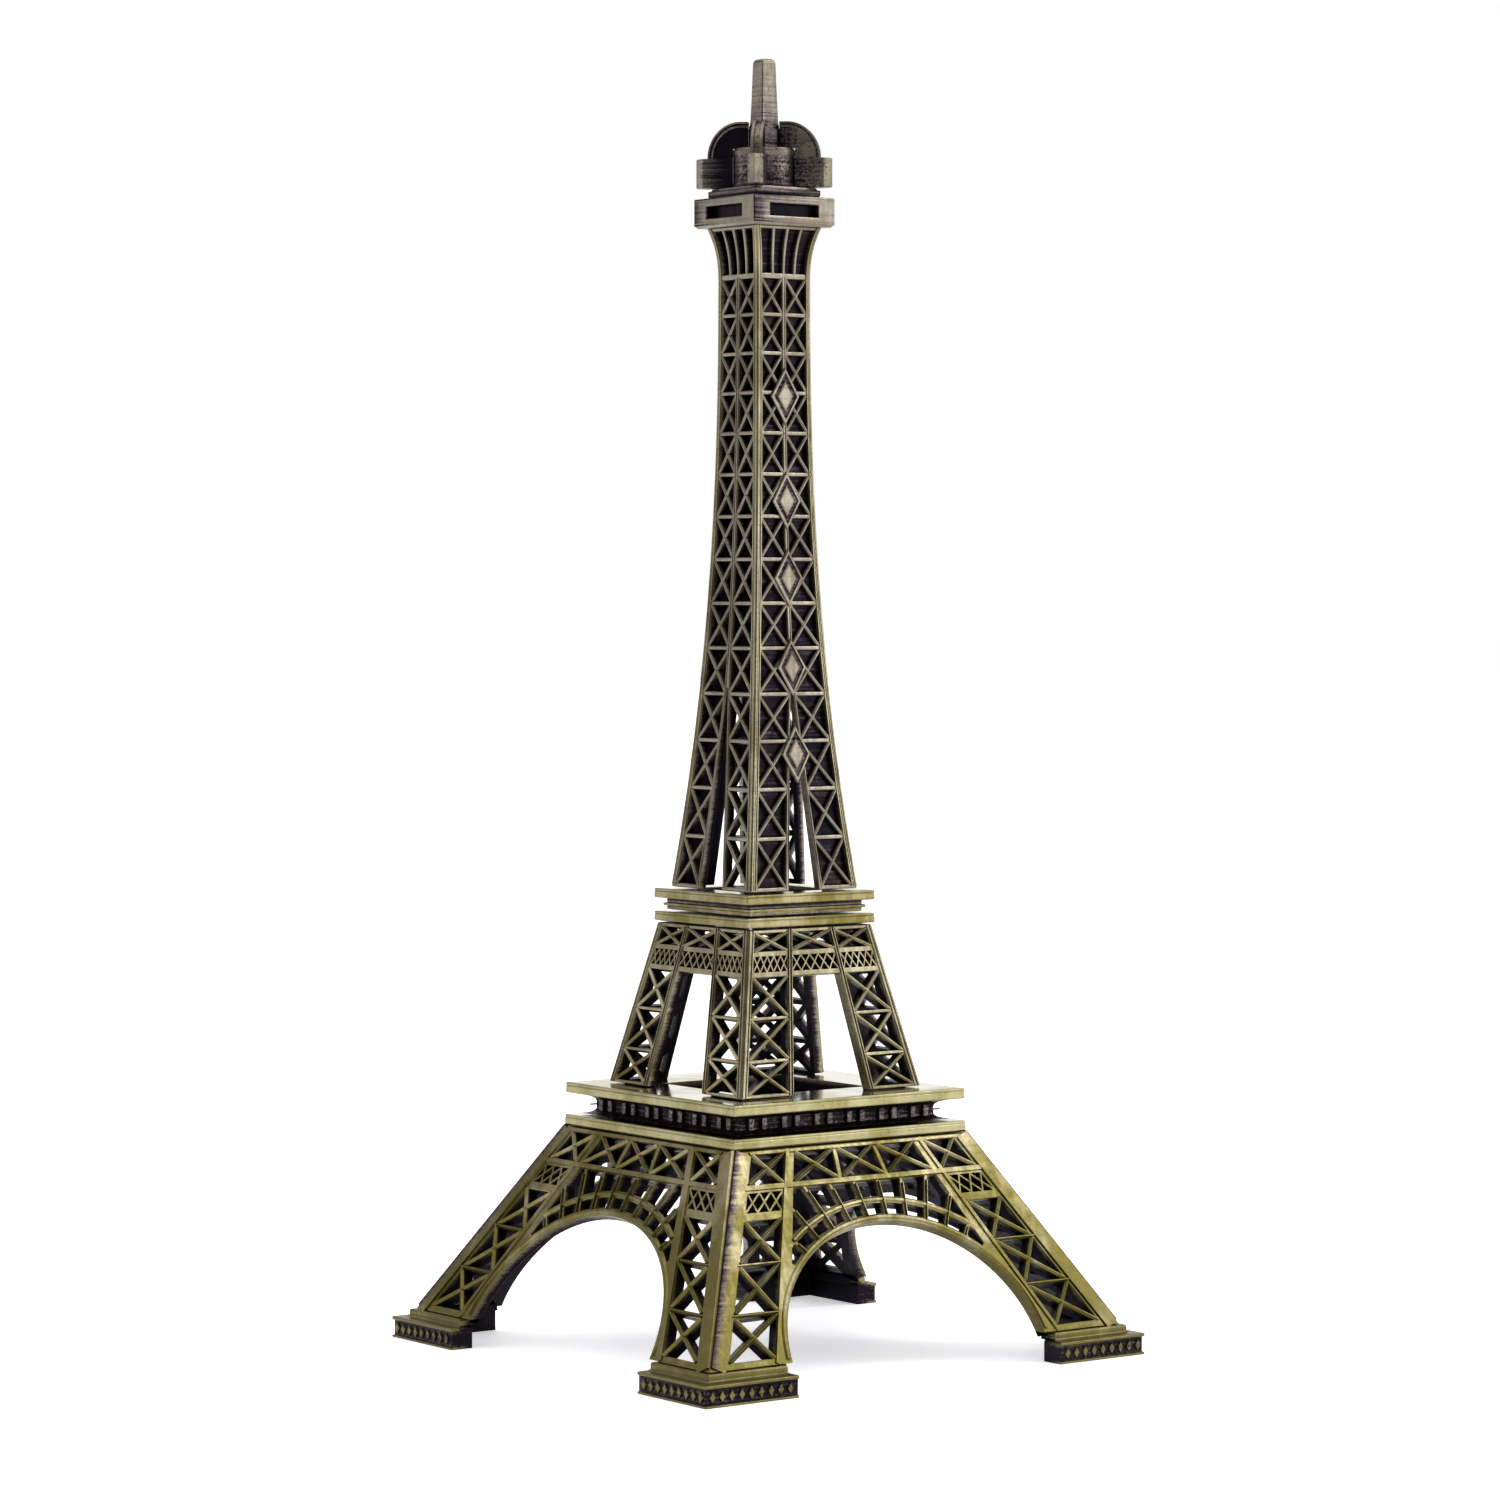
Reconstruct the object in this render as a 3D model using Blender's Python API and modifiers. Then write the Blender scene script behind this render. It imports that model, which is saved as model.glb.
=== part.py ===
"""A desk-size lattice tower, cast in metal and assembled from separate pieces.

Metres, +Z up.  The origin is the middle of the four feet on the table top and the
front of the tower faces -Y.  Every size below is written in millimetres and is
turned into metres when a piece or a cutter is put in the scene.
"""
import math

import bmesh
import bpy
from mathutils import Matrix

MM = 0.001
FIT = 0.2                # clearance between pieces that rest on each other
SEAM = 0.14              # how far each side stops short of the mitre at a corner
WELD = 0.001             # corners closer together than this are one corner
OVERLAP = 0.5            # how far a cutter, or a pattern that is trimmed later, runs on past a face

# ---- heights of the joints, from the table up ----
FOOT_TOP = 3.0
PLINTH_TOP = 4.2
BASE_TOP = 30.7
CORNICE_TOP = 32.4
FRIEZE_TOP = 35.2
DECK_TOP = 36.95
MID_TOP = 59.7
LOWER_SLAB_TOP = 61.3
BAND_TOP = 62.9
UPPER_SLAB_TOP = 64.5
SHAFT_ROWS_TOP = 149.5
SHAFT_TOP = 156.5
GALLERY_TOP = 160.8
STEP_TOP = 162.2
DRUM_TOP = 167.5
ARM_TOP = 166.2
FIN_TOP = 171.3
TOWER_TOP = 180.0

# ---- half widths of the square levels ----
FOOT_HALF = 37.8
PLINTH_HALF = 36.0
BASE_FOOT_HALF = 35.3
BASE_HEAD_HALF = 20.15
DECK_HALF = 20.0
MID_FOOT_HALF = 15.55
MID_HEAD_HALF = 10.62
SLAB_HALF = 11.05
SHAFT_FOOT_HALF = 9.3
SHAFT_HEAD_HALF = 4.55
FLARE_HALF = 5.65
GALLERY_HALF = 7.03
STEP_HALF = 5.62

# ---- wall thicknesses ----
BASE_WALL = 1.6
MID_WALL = 1.5
SHAFT_WALL = 1.1
SHAFT_WEB = 0.4          # what is left behind the blind cells of the front and the back

QUARTER = math.pi / 2.0
SIDES = ("front", "right", "back", "left")
CORNERS = ("front_left", "front_right", "back_right", "back_left")

BRONZE = (0.36, 0.31, 0.17)
BRONZE_LIGHT = (0.46, 0.41, 0.24)
BRONZE_DARK = (0.11, 0.095, 0.075)


# ------------------------------------------------------------------ scene helpers
def clear_scene():
    for item in list(bpy.data.objects):
        bpy.data.objects.remove(item, do_unlink=True)


def make_collection(name):
    collection = bpy.data.collections.new(name)
    bpy.context.scene.collection.children.link(collection)
    return collection


def metal(name, colour, roughness=0.38):
    """A cast metal for one piece."""
    material = bpy.data.materials.new(name)
    material.use_nodes = True
    shader = material.node_tree.nodes["Principled BSDF"]
    shader.inputs["Base Color"].default_value = (*colour, 1.0)
    shader.inputs["Metallic"].default_value = 1.0
    shader.inputs["Roughness"].default_value = roughness
    return material


def link_mesh(name, mesh, collection):
    """Put a mesh, made in millimetres, in the scene in metres."""
    mesh.transform(Matrix.Scale(MM, 4))
    mesh.name = name
    item = bpy.data.objects.new(name, mesh)
    collection.objects.link(item)
    return item


def add_piece(name, mesh, colour):
    mesh.materials.append(metal(name + "_metal", colour))
    return link_mesh(name, mesh, TOWER)


def combine(piece, name, mesh, operation):
    """Cut another shape out of a piece, weld it on, or keep only what they share."""
    cutter = link_mesh(name, mesh, CUTTERS)
    cutter.hide_render = True
    cutter.display_type = "WIRE"
    modifier = piece.modifiers.new(name, "BOOLEAN")
    modifier.operation = operation
    modifier.solver = "EXACT"
    modifier.object = cutter
    return cutter


def evaluated_mesh(item):
    """A new mesh of an object with its curve filled or its modifiers carried out."""
    depsgraph = bpy.context.evaluated_depsgraph_get()
    return bpy.data.meshes.new_from_object(item.evaluated_get(depsgraph))


def add_copy(name, original, quarter_turns, colour):
    """Repeat a finished piece elsewhere round the tower's axis."""
    mesh = evaluated_mesh(original)
    mesh.name = name
    mesh.materials.clear()
    mesh.materials.append(metal(name + "_metal", colour))
    copy = bpy.data.objects.new(name, mesh)
    copy.rotation_euler.z = quarter_turns * QUARTER
    TOWER.objects.link(copy)


def add_other_quarters(stem, names, first, colour):
    """Complete a set of four pieces from the one at the front."""
    for quarter_turns in (1, 2, 3):
        add_copy(stem + names[quarter_turns], first, quarter_turns, colour)


# ------------------------------------------------------------------ mesh makers, in millimetres
def new_mesh(work):
    mesh = bpy.data.meshes.new("shape")
    work.to_mesh(mesh)
    work.free()
    return mesh


def plate(loops, low, high):
    """A plate of a flat pattern that reaches from low to high along Z.

    A loop inside another is a hole in it, and loops apart from each other are separate plates.
    """
    curve = bpy.data.curves.new("pattern", "CURVE")
    curve.dimensions = "2D"
    curve.fill_mode = "BOTH"
    curve.extrude = (high - low) / 2.0
    for loop in loops:
        spline = curve.splines.new("POLY")
        spline.points.add(len(loop) - 1)
        for point, (x, y) in zip(spline.points, loop):
            point.co = (x, y, 0.0, 1.0)
        spline.use_cyclic_u = True
    guide = bpy.data.objects.new("pattern", curve)
    TOWER.objects.link(guide)
    mesh = evaluated_mesh(guide)
    bpy.data.objects.remove(guide, do_unlink=True)
    work = bmesh.new()
    work.from_mesh(mesh)
    bmesh.ops.remove_doubles(work, verts=work.verts, dist=WELD)
    caps = [face for face in work.faces if is_level(face)]
    inner_edges = [edge for edge in work.edges if all(is_level(face) for face in edge.link_faces)]
    bmesh.ops.beautify_fill(work, faces=caps, edges=inner_edges)
    bmesh.ops.recalc_face_normals(work, faces=work.faces)
    work.to_mesh(mesh)
    work.free()
    mesh.transform(Matrix.Translation((0.0, 0.0, (low + high) / 2.0)))
    return mesh


def is_level(face):
    """Whether a face belongs to the top or the bottom of a plate."""
    heights = [corner.co.z for corner in face.verts]
    return max(heights) - min(heights) < WELD


def boxes(corner_pairs):
    """One mesh of several boxes, each given by its lowest and its highest corner."""
    work = bmesh.new()
    for low, high in corner_pairs:
        middle = [(a + b) / 2.0 for a, b in zip(low, high)]
        sides = [b - a for a, b in zip(low, high)]
        bmesh.ops.create_cube(work, size=1.0,
                              matrix=Matrix.Translation(middle) @ Matrix.Diagonal((*sides, 1.0)))
    return new_mesh(work)


def cylinder(radius, low, high, segments):
    work = bmesh.new()
    bmesh.ops.create_cone(work, cap_ends=True, segments=segments, radius1=radius, radius2=radius,
                          depth=high - low, matrix=Matrix.Translation((0.0, 0.0, (low + high) / 2.0)))
    return new_mesh(work)


def add_square_turning(name, profile, colour, hole_half=0.0):
    """Sweep a profile of (half width, height), listed from the top down, round a square.

    The sweep is a Screw in four steps, turned so that its corners come on the diagonals.
    With a hole_half the piece has a square well through it, otherwise it is solid.
    """
    top = profile[0][1]
    bottom = profile[-1][1]
    loop = [(hole_half, top)] + profile + [(hole_half, bottom)]
    corner_reach = math.sqrt(2.0)
    points = [(half * corner_reach, 0.0, z) for half, z in loop]
    edges = [(index, index + 1) for index in range(len(points) - 1)]
    if hole_half:
        edges.append((len(points) - 1, 0))
    mesh = bpy.data.meshes.new(name)
    mesh.from_pydata(points, edges, [])
    piece = add_piece(name, mesh, colour)
    piece.rotation_euler.z = math.pi / 4.0
    sweep = piece.modifiers.new("square_sweep", "SCREW")
    sweep.steps = 4
    sweep.render_steps = 4
    sweep.use_merge_vertices = True
    sweep.merge_threshold = WELD * MM
    return piece


# ------------------------------------------------------------------ flat pattern helpers
def line_crossing(p, p_along, q, q_along):
    """Where two lines meet; each is a point and a direction."""
    cross = p_along[0] * q_along[1] - p_along[1] * q_along[0]
    reach = ((q[0] - p[0]) * q_along[1] - (q[1] - p[1]) * q_along[0]) / cross
    return (p[0] + p_along[0] * reach, p[1] + p_along[1] * reach)


def inset(corners, margins):
    """Move each side of an anticlockwise polygon inwards by its own margin."""
    count = len(corners)
    lines = []
    for index in range(count):
        a = corners[index]
        b = corners[(index + 1) % count]
        length = math.dist(a, b)
        along = ((b[0] - a[0]) / length, (b[1] - a[1]) / length)
        margin = margins[index]
        lines.append(((a[0] - along[1] * margin, a[1] + along[0] * margin), along))
    return [line_crossing(*lines[index - 1], *lines[index]) for index in range(count)]


def cross_braced(opening, bar):
    """The four triangular holes left when an X of bars is set in a four-sided opening."""
    a, b, c, d = opening
    middle = line_crossing(a, (c[0] - a[0], c[1] - a[1]), b, (d[0] - b[0], d[1] - b[1]))
    half = bar / 2.0
    return [inset([start, end, middle], [0.0, half, half])
            for start, end in ((a, b), (b, c), (c, d), (d, a))]


def clipped(polygon, point, inward):
    """The part of a convex polygon on the inward side of a line."""
    kept = []
    for index, here in enumerate(polygon):
        before = polygon[index - 1]
        depth_here = (here[0] - point[0]) * inward[0] + (here[1] - point[1]) * inward[1]
        depth_before = (before[0] - point[0]) * inward[0] + (before[1] - point[1]) * inward[1]
        if depth_here * depth_before < 0:
            share = depth_before / (depth_before - depth_here)
            kept.append((before[0] + (here[0] - before[0]) * share,
                         before[1] + (here[1] - before[1]) * share))
        if depth_here >= 0:
            kept.append(here)
    return kept


def polygon_area(polygon):
    return 0.5 * sum(polygon[i - 1][0] * polygon[i][1] - polygon[i][0] * polygon[i - 1][1]
                     for i in range(len(polygon)))


def mirrored(polygon):
    """The same polygon on the other side of the centre line, still anticlockwise."""
    return [(-u, v) for u, v in reversed(polygon)]


class Slope:
    """A leaning flat face of the front of the tower.

    u runs sideways from the centre line and v runs up the face from its lower edge.
    """

    def __init__(self, low_z, low_half, high_z, high_half, wall):
        self.low_z = low_z
        self.high_z = high_z
        self.low_half = low_half
        self.length = math.hypot(high_z - low_z, low_half - high_half)
        self.rise = (high_z - low_z) / self.length
        self.lean = (low_half - high_half) / self.length
        self.wall = wall

    def half(self, v):
        """Half the width of the tower, v up the face."""
        return self.low_half - v * self.lean

    def side(self, name, outline, holes):
        """The leaning front side of the tower, mitred at its upright ends and cut level."""
        mesh = plate([outline] + holes, -self.wall, 0.0)
        mesh.transform(Matrix(((1.0, 0.0, 0.0, 0.0),
                               (0.0, self.lean, -self.rise, -self.low_half),
                               (0.0, self.rise, self.lean, self.low_z),
                               (0.0, 0.0, 0.0, 1.0))))
        piece = add_piece(name, mesh, BRONZE)
        combine(piece, name + "_trim", mitre_wedge(self.low_z, self.high_z), "INTERSECT")
        return piece


def mitre_wedge(low, high):
    """The quarter of the tower that belongs to its front side."""
    reach = FOOT_HALF + 5.0
    return plate([[(0.0, -SEAM), (-reach, -reach - SEAM), (reach, -reach - SEAM)]], low, high)


def between(low, high, share):
    return low + (high - low) * share


# ------------------------------------------------------------------ feet
def corner_plan(outer, end, thickness):
    """An L in plan, round the front left corner; the arms run inwards from the corner."""
    inner = outer - thickness
    return [(-outer, -outer), (-end, -outer), (-end, -inner),
            (-inner, -inner), (-inner, -end), (-outer, -end)]


def build_feet():
    """An L-shaped pedestal, its plinth step and a tongue that stands in the hollow leg."""
    tongue_lift = 1.6
    lean = BASE.lean / BASE.rise
    tongue = plate([corner_plan(BASE_FOOT_HALF - BASE_WALL / BASE.rise - FIT, 29.0, 1.1)],
                   -OVERLAP, tongue_lift + FIT)
    tongue.transform(Matrix(((1.0, 0.0, lean, 0.0),
                             (0.0, 1.0, lean, 0.0),
                             (0.0, 0.0, 1.0, PLINTH_TOP - FIT),
                             (0.0, 0.0, 0.0, 1.0))))
    foot = add_piece("foot_" + CORNERS[0], plate([corner_plan(FOOT_HALF, 22.5, 3.6)], 0.0, FOOT_TOP),
                     BRONZE)
    plinth = plate([corner_plan(PLINTH_HALF, 23.0, 3.1)], FOOT_TOP - OVERLAP, PLINTH_TOP - FIT)
    combine(foot, "foot_plinth", plinth, "UNION")
    combine(foot, "foot_tongue", tongue, "UNION")
    add_other_quarters("foot_", CORNERS, foot, BRONZE)


# ------------------------------------------------------------------ base stage
BASE = Slope(PLINTH_TOP, BASE_FOOT_HALF, BASE_TOP - FIT, BASE_HEAD_HALF + 0.1, BASE_WALL)
CORNER_POST = 3.1
ARCH_CENTRE = -0.8
ARCH_SPAN = 21.6
ARCH_RISE = 19.35
RIM = 1.15
UPPER_ARC = (2.65, 3.7)
LEG_BARS = ((7.0, 7.6), (14.0, 14.45), (20.3, 21.25), (24.5, 25.45))
TOP_CHORD = 29.75
BRACE = 0.75


def inner_post(v, outer_edge):
    """Sideways place of either edge of the post on the inner side of a base leg."""
    share = v / BASE.length
    return between(24.7, 11.7, share) if outer_edge else between(22.0, 10.0, share)


def arch_point(angle, offset):
    """A point on the arch, or on a curve a fixed distance outside it."""
    return ((ARCH_SPAN + offset) * math.sin(angle),
            ARCH_CENTRE + (ARCH_RISE + offset) * math.cos(angle))


def leg_opening(low, high):
    """The clear space in the left leg between its two posts and two levels."""
    return [(-(BASE.half(low) - CORNER_POST), low), (-inner_post(low, True), low),
            (-inner_post(high, True), high), (-(BASE.half(high) - CORNER_POST), high)]


def base_leg_holes():
    """Stacked X cells in a leg; the small panel under the long bar stays solid."""
    levels = (1.0,) + tuple(edge for bar in LEG_BARS[:3] for edge in bar)
    holes = []
    for low, high in zip(levels[0::2], levels[1::2]):
        holes += cross_braced(leg_opening(low, high), BRACE)
    holes += cross_braced(leg_opening(LEG_BARS[3][1], TOP_CHORD), BRACE)
    return holes + [mirrored(hole) for hole in holes]


def truss_band_holes():
    """Three X cells between the legs, under the cornice."""
    low = LEG_BARS[3][1]
    left_low = -inner_post(low, False)
    left_high = -inner_post(TOP_CHORD, False)
    upright = 0.4
    holes = []
    for cell in range(3):
        start = cell / 3.0
        end = (cell + 1) / 3.0
        left_gap = upright if cell > 0 else 0.0
        right_gap = upright if cell < 2 else 0.0
        opening = [(between(left_low, -left_low, start) + left_gap, low),
                   (between(left_low, -left_low, end) - right_gap, low),
                   (between(left_high, -left_high, end) - right_gap, TOP_CHORD),
                   (between(left_high, -left_high, start) + left_gap, TOP_CHORD)]
        holes += cross_braced(opening, BRACE)
    return holes


def fan_holes():
    """Cells between the arch rim, the arc above it and the long bar, parted by spokes."""
    spoke = 0.3
    pitch = math.radians(8.4)
    low = (inner_post(0.0, False), 0.0)
    high = (inner_post(BASE.length, False), BASE.length)
    post_inward = (high[1] - low[1], low[0] - high[0])
    bar = LEG_BARS[3][0]
    holes = []
    for near, far in ((RIM, UPPER_ARC[0]), (UPPER_ARC[1], 14.0)):
        near_part = spoke / (ARCH_RISE + near)
        far_part = spoke / (ARCH_RISE + far)
        for cell in range(-7, 7):
            start = (cell + 0.5) * pitch
            end = start + pitch
            middle = 0.5 * (start + end)
            polygon = [arch_point(end - near_part, near), arch_point(end - far_part, far),
                       arch_point(start + far_part, far), arch_point(start + near_part, near)]
            if far < 10.0:
                polygon.insert(2, arch_point(middle, far))
            polygon.append(arch_point(middle, near))
            polygon = clipped(polygon, (0.0, bar), (0.0, -1.0))
            polygon = clipped(polygon, (low[0], low[1]), (-post_inward[0], -post_inward[1]))
            polygon = clipped(polygon, (-low[0], low[1]), (post_inward[0], -post_inward[1]))
            if len(polygon) > 2 and abs(polygon_area(polygon)) > 0.8:
                holes.append(polygon)
    return holes


def base_outline():
    """One side of the base stage: two spread legs joined above an arch, before it is trimmed."""
    steps = 28
    low = -OVERLAP
    high = BASE.length + BASE.wall + OVERLAP
    limit = math.acos((low - ARCH_CENTRE) / ARCH_RISE)
    arch = [arch_point(between(-limit, limit, step / steps), 0.0) for step in range(steps + 1)]
    foot = BASE.half(low) + OVERLAP
    head = BASE.half(high) + OVERLAP
    return [(-foot, low)] + arch + [(foot, low), (head, high), (-head, high)]


def build_base_sides():
    holes = base_leg_holes() + truss_band_holes() + fan_holes()
    front = BASE.side("base_side_" + SIDES[0], base_outline(), holes)
    add_other_quarters("base_side_", SIDES, front, BRONZE)


# ------------------------------------------------------------------ first platform
def rounded_edge(half, low, high, count=6):
    """The profile of a slab whose edge is half round, from the top down."""
    radius = (high - low) / 2.0
    middle = (high + low) / 2.0
    angles = [math.pi / 2.0 - math.pi * index / count for index in range(count + 1)]
    return [(half - radius * 0.6 * (1.0 - math.cos(angle)), middle + radius * math.sin(angle))
            for angle in angles]


def frieze_dentils():
    """Small upright blocks in the recess, six pairs along every side."""
    pitch = 5.6
    apart = 1.1
    half = 0.55
    low, high = 32.95, 34.5
    blocks = []
    for pair in range(6):
        for along in ((pair - 2.5) * pitch - apart, (pair - 2.5) * pitch + apart):
            for near, far in ((-17.4, -16.7), (16.7, 17.4)):
                blocks.append(((along - half, near, low), (along + half, far, high)))
                blocks.append(((near, along - half, low), (far, along + half, high)))
    return boxes(blocks)


def build_first_platform():
    low = BASE_TOP
    cornice = [(20.1, CORNICE_TOP - FIT), (20.1, low + 0.3), (19.5, low + 0.25), (19.5, low)]
    add_square_turning("first_cornice", cornice, BRONZE_LIGHT, 15.4)
    lip = 15.2
    recess = [(18.5, FRIEZE_TOP - FIT), (17.5, FRIEZE_TOP - 0.5), (16.9, FRIEZE_TOP - 0.9),
              (16.9, CORNICE_TOP + 0.7), (17.6, CORNICE_TOP + 0.25), (18.6, CORNICE_TOP),
              (lip, CORNICE_TOP), (lip, low + 0.6)]
    frieze = add_square_turning("first_frieze", recess, BRONZE_DARK, 14.0)
    combine(frieze, "first_frieze_dentils", frieze_dentils(), "UNION")
    add_square_turning("first_deck", rounded_edge(DECK_HALF, FRIEZE_TOP, DECK_TOP - FIT), BRONZE_LIGHT, 10.3)


# ------------------------------------------------------------------ middle stage
MID = Slope(DECK_TOP, MID_FOOT_HALF, MID_TOP - FIT, MID_HEAD_HALF + 0.04, MID_WALL)
MID_POST = 1.15
MID_INNER_POST = 0.85
MID_BARS = ((4.75, 5.2), (10.6, 11.05), (16.45, 17.15), (19.35, 20.05))
MID_CHORD = 22.55
MID_BRACE = 0.6


def mid_inner(v):
    """Inner edge of a middle-stage leg."""
    return between(6.6, 3.2, v / MID.length)


def mid_leg_opening(low, high):
    return [(-(MID.half(low) - MID_POST), low), (-(mid_inner(low) + MID_INNER_POST), low),
            (-(mid_inner(high) + MID_INNER_POST), high), (-(MID.half(high) - MID_POST), high)]


def mid_outline():
    """One side of the middle stage: two legs under a deep band, before it is trimmed."""
    low = -OVERLAP
    high = MID.length + MID.wall + OVERLAP
    foot = MID.half(low) + OVERLAP
    head = MID.half(high) + OVERLAP
    band = MID_BARS[2][0]
    return [(-foot, low), (-mid_inner(low), low), (-mid_inner(band), band),
            (mid_inner(band), band), (mid_inner(low), low), (foot, low), (head, high), (-head, high)]


def mid_holes():
    """Three X cells in each leg and three more along the top."""
    levels = (0.45, MID_BARS[0][0], MID_BARS[0][1], MID_BARS[1][0], MID_BARS[1][1], MID_BARS[2][0])
    holes = []
    for low, high in zip(levels[0::2], levels[1::2]):
        holes += cross_braced(mid_leg_opening(low, high), MID_BRACE)
    low = MID_BARS[3][1]
    holes += cross_braced(mid_leg_opening(low, MID_CHORD), MID_BRACE)
    holes += [mirrored(hole) for hole in holes]
    centre = [(-mid_inner(low), low), (mid_inner(low), low),
              (mid_inner(MID_CHORD), MID_CHORD), (-mid_inner(MID_CHORD), MID_CHORD)]
    return holes + cross_braced(centre, MID_BRACE)


def build_mid_sides():
    front = MID.side("mid_side_" + SIDES[0], mid_outline(), mid_holes())
    add_other_quarters("mid_side_", SIDES, front, BRONZE)


# ------------------------------------------------------------------ second platform
def build_second_platform():
    well = 7.2
    add_square_turning("second_lower_slab", rounded_edge(SLAB_HALF, MID_TOP, LOWER_SLAB_TOP - FIT),
                       BRONZE_LIGHT, well)
    add_square_turning("second_upper_slab", rounded_edge(SLAB_HALF, BAND_TOP, UPPER_SLAB_TOP - FIT),
                       BRONZE_LIGHT, well)
    lip = well - FIT
    ridge = 0.5 * (LOWER_SLAB_TOP + BAND_TOP - FIT)
    band = [(lip, UPPER_SLAB_TOP - 0.5), (lip, BAND_TOP - FIT), (9.75, BAND_TOP - FIT),
            (9.75, ridge + 0.25), (10.15, ridge + 0.15), (10.15, ridge - 0.15),
            (9.75, ridge - 0.25), (9.75, LOWER_SLAB_TOP), (lip, LOWER_SLAB_TOP), (lip, MID_TOP + 0.5)]
    add_square_turning("second_band", band, BRONZE_DARK, 6.0)


# ------------------------------------------------------------------ shaft
ROW_COUNT = 14
ROW_GROWTH = 1.022
SILL = UPPER_SLAB_TOP + 0.3
ROW_BAR = 0.55
SHAFT_BRACE = 0.5
SLIT_HALF = 2.6
SLIT_TOP = 94.0


def shaft_half(z):
    """Half the width of the shaft: a long taper, then a flare up to the gallery."""
    if z > SHAFT_ROWS_TOP:
        lift = (z - SHAFT_ROWS_TOP) / (SHAFT_TOP - SHAFT_ROWS_TOP)
        return SHAFT_HEAD_HALF + (FLARE_HALF - SHAFT_HEAD_HALF) * lift ** 2.2
    drop = (SHAFT_ROWS_TOP - z) / (SHAFT_ROWS_TOP - UPPER_SLAB_TOP)
    return SHAFT_HEAD_HALF + (SHAFT_FOOT_HALF - SHAFT_HEAD_HALF) * drop ** 2.33


def shaft_rows():
    """Heights of the bars, from the bottom one up; each row is a little lower than the last."""
    total = SHAFT_ROWS_TOP - SILL
    top_row = total * (ROW_GROWTH - 1.0) / (ROW_GROWTH ** ROW_COUNT - 1.0)
    heights = [SHAFT_ROWS_TOP]
    for row in range(ROW_COUNT):
        heights.append(heights[-1] - top_row * ROW_GROWTH ** row)
    return list(reversed(heights))


def slit_half(z):
    """Half the width of the opening that splits the foot of the shaft."""
    return SLIT_HALF * max(0.0, SLIT_TOP - z) / (SLIT_TOP - UPPER_SLAB_TOP)


def centre_post_edge(z):
    split = slit_half(z)
    return split + 0.35 + 0.3 * split / SLIT_HALF


def corner_post_edge(z):
    return shaft_half(z) - between(1.0, 0.75, (z - SILL) / (SHAFT_TOP - SILL))


def flare_levels():
    return [between(SHAFT_ROWS_TOP, SHAFT_TOP, step / 4.0) for step in range(1, 5)]


def shaft_outline():
    """One side of the shaft, before its upright ends are trimmed."""
    rows = shaft_rows()
    low = UPPER_SLAB_TOP
    right = [(shaft_half(z) + OVERLAP, z) for z in [low] + rows + flare_levels()]
    tip = SLIT_TOP - 1.5
    slit = [(slit_half(z), z) for z in [low] + [z for z in rows if z < tip] + [tip]]
    return ([(-u, z) for u, z in slit] + list(reversed(slit))
            + right + [(-u, z) for u, z in reversed(right)])


def shaft_holes():
    """Two columns of X cells, then tall gaps between the ribs of the flare."""
    rows = shaft_rows()
    holes = []
    for low, high in zip(rows[:-1], rows[1:]):
        bottom = low + ROW_BAR / 2.0
        top = high - ROW_BAR / 2.0
        opening = [(centre_post_edge(bottom), bottom), (corner_post_edge(bottom), bottom),
                   (corner_post_edge(top), top), (centre_post_edge(top), top)]
        holes += cross_braced(opening, SHAFT_BRACE)
    holes += flare_holes()
    return holes + [mirrored(hole) for hole in holes]


def flare_holes():
    """The gaps on one side of the middle rib."""
    rib = 0.24
    levels = [SHAFT_ROWS_TOP + 0.5] + flare_levels()[:-1] + [SHAFT_TOP - 0.25]
    holes = []
    for start, end in ((0.0, 0.5), (0.5, 1.0)):
        near = [(start * corner_post_edge(z) + rib, z) for z in levels]
        last = 0.0 if end == 1.0 else rib
        far = [(end * corner_post_edge(z) - last, z) for z in levels]
        holes.append(far + list(reversed(near)))
    return holes


def shaft_plate(loops, low, high):
    """A plate stood up behind the curved front of the shaft; low and high count outwards from it."""
    mesh = plate(loops, low, high)
    for vertex in mesh.vertices:
        u, z, out = vertex.co
        vertex.co = (u, -shaft_half(z) - out, z)
    return mesh


def build_shaft_sides():
    """The left and right sides are open lattice; the front and back are cast on a thin web."""
    low = UPPER_SLAB_TOP - OVERLAP
    high = SHAFT_TOP + OVERLAP
    front = add_piece("shaft_side_front", shaft_plate([shaft_outline()], -SHAFT_WALL, 0.0), BRONZE)
    cells = shaft_plate(shaft_holes(), SHAFT_WEB - SHAFT_WALL, OVERLAP)
    combine(front, "shaft_cells", cells, "DIFFERENCE")
    combine(front, "shaft_trim", mitre_wedge(low, high), "INTERSECT")
    lattice = add_piece("shaft_side_right", shaft_plate([shaft_outline()] + shaft_holes(), -SHAFT_WALL, 0.0),
                        BRONZE)
    trim = combine(lattice, "shaft_lattice_trim", mitre_wedge(low, high), "INTERSECT")
    lattice.rotation_euler.z = QUARTER
    trim.rotation_euler.z = QUARTER
    add_copy("shaft_side_back", front, 2, BRONZE)
    add_copy("shaft_side_left", lattice, 3, BRONZE)

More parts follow.
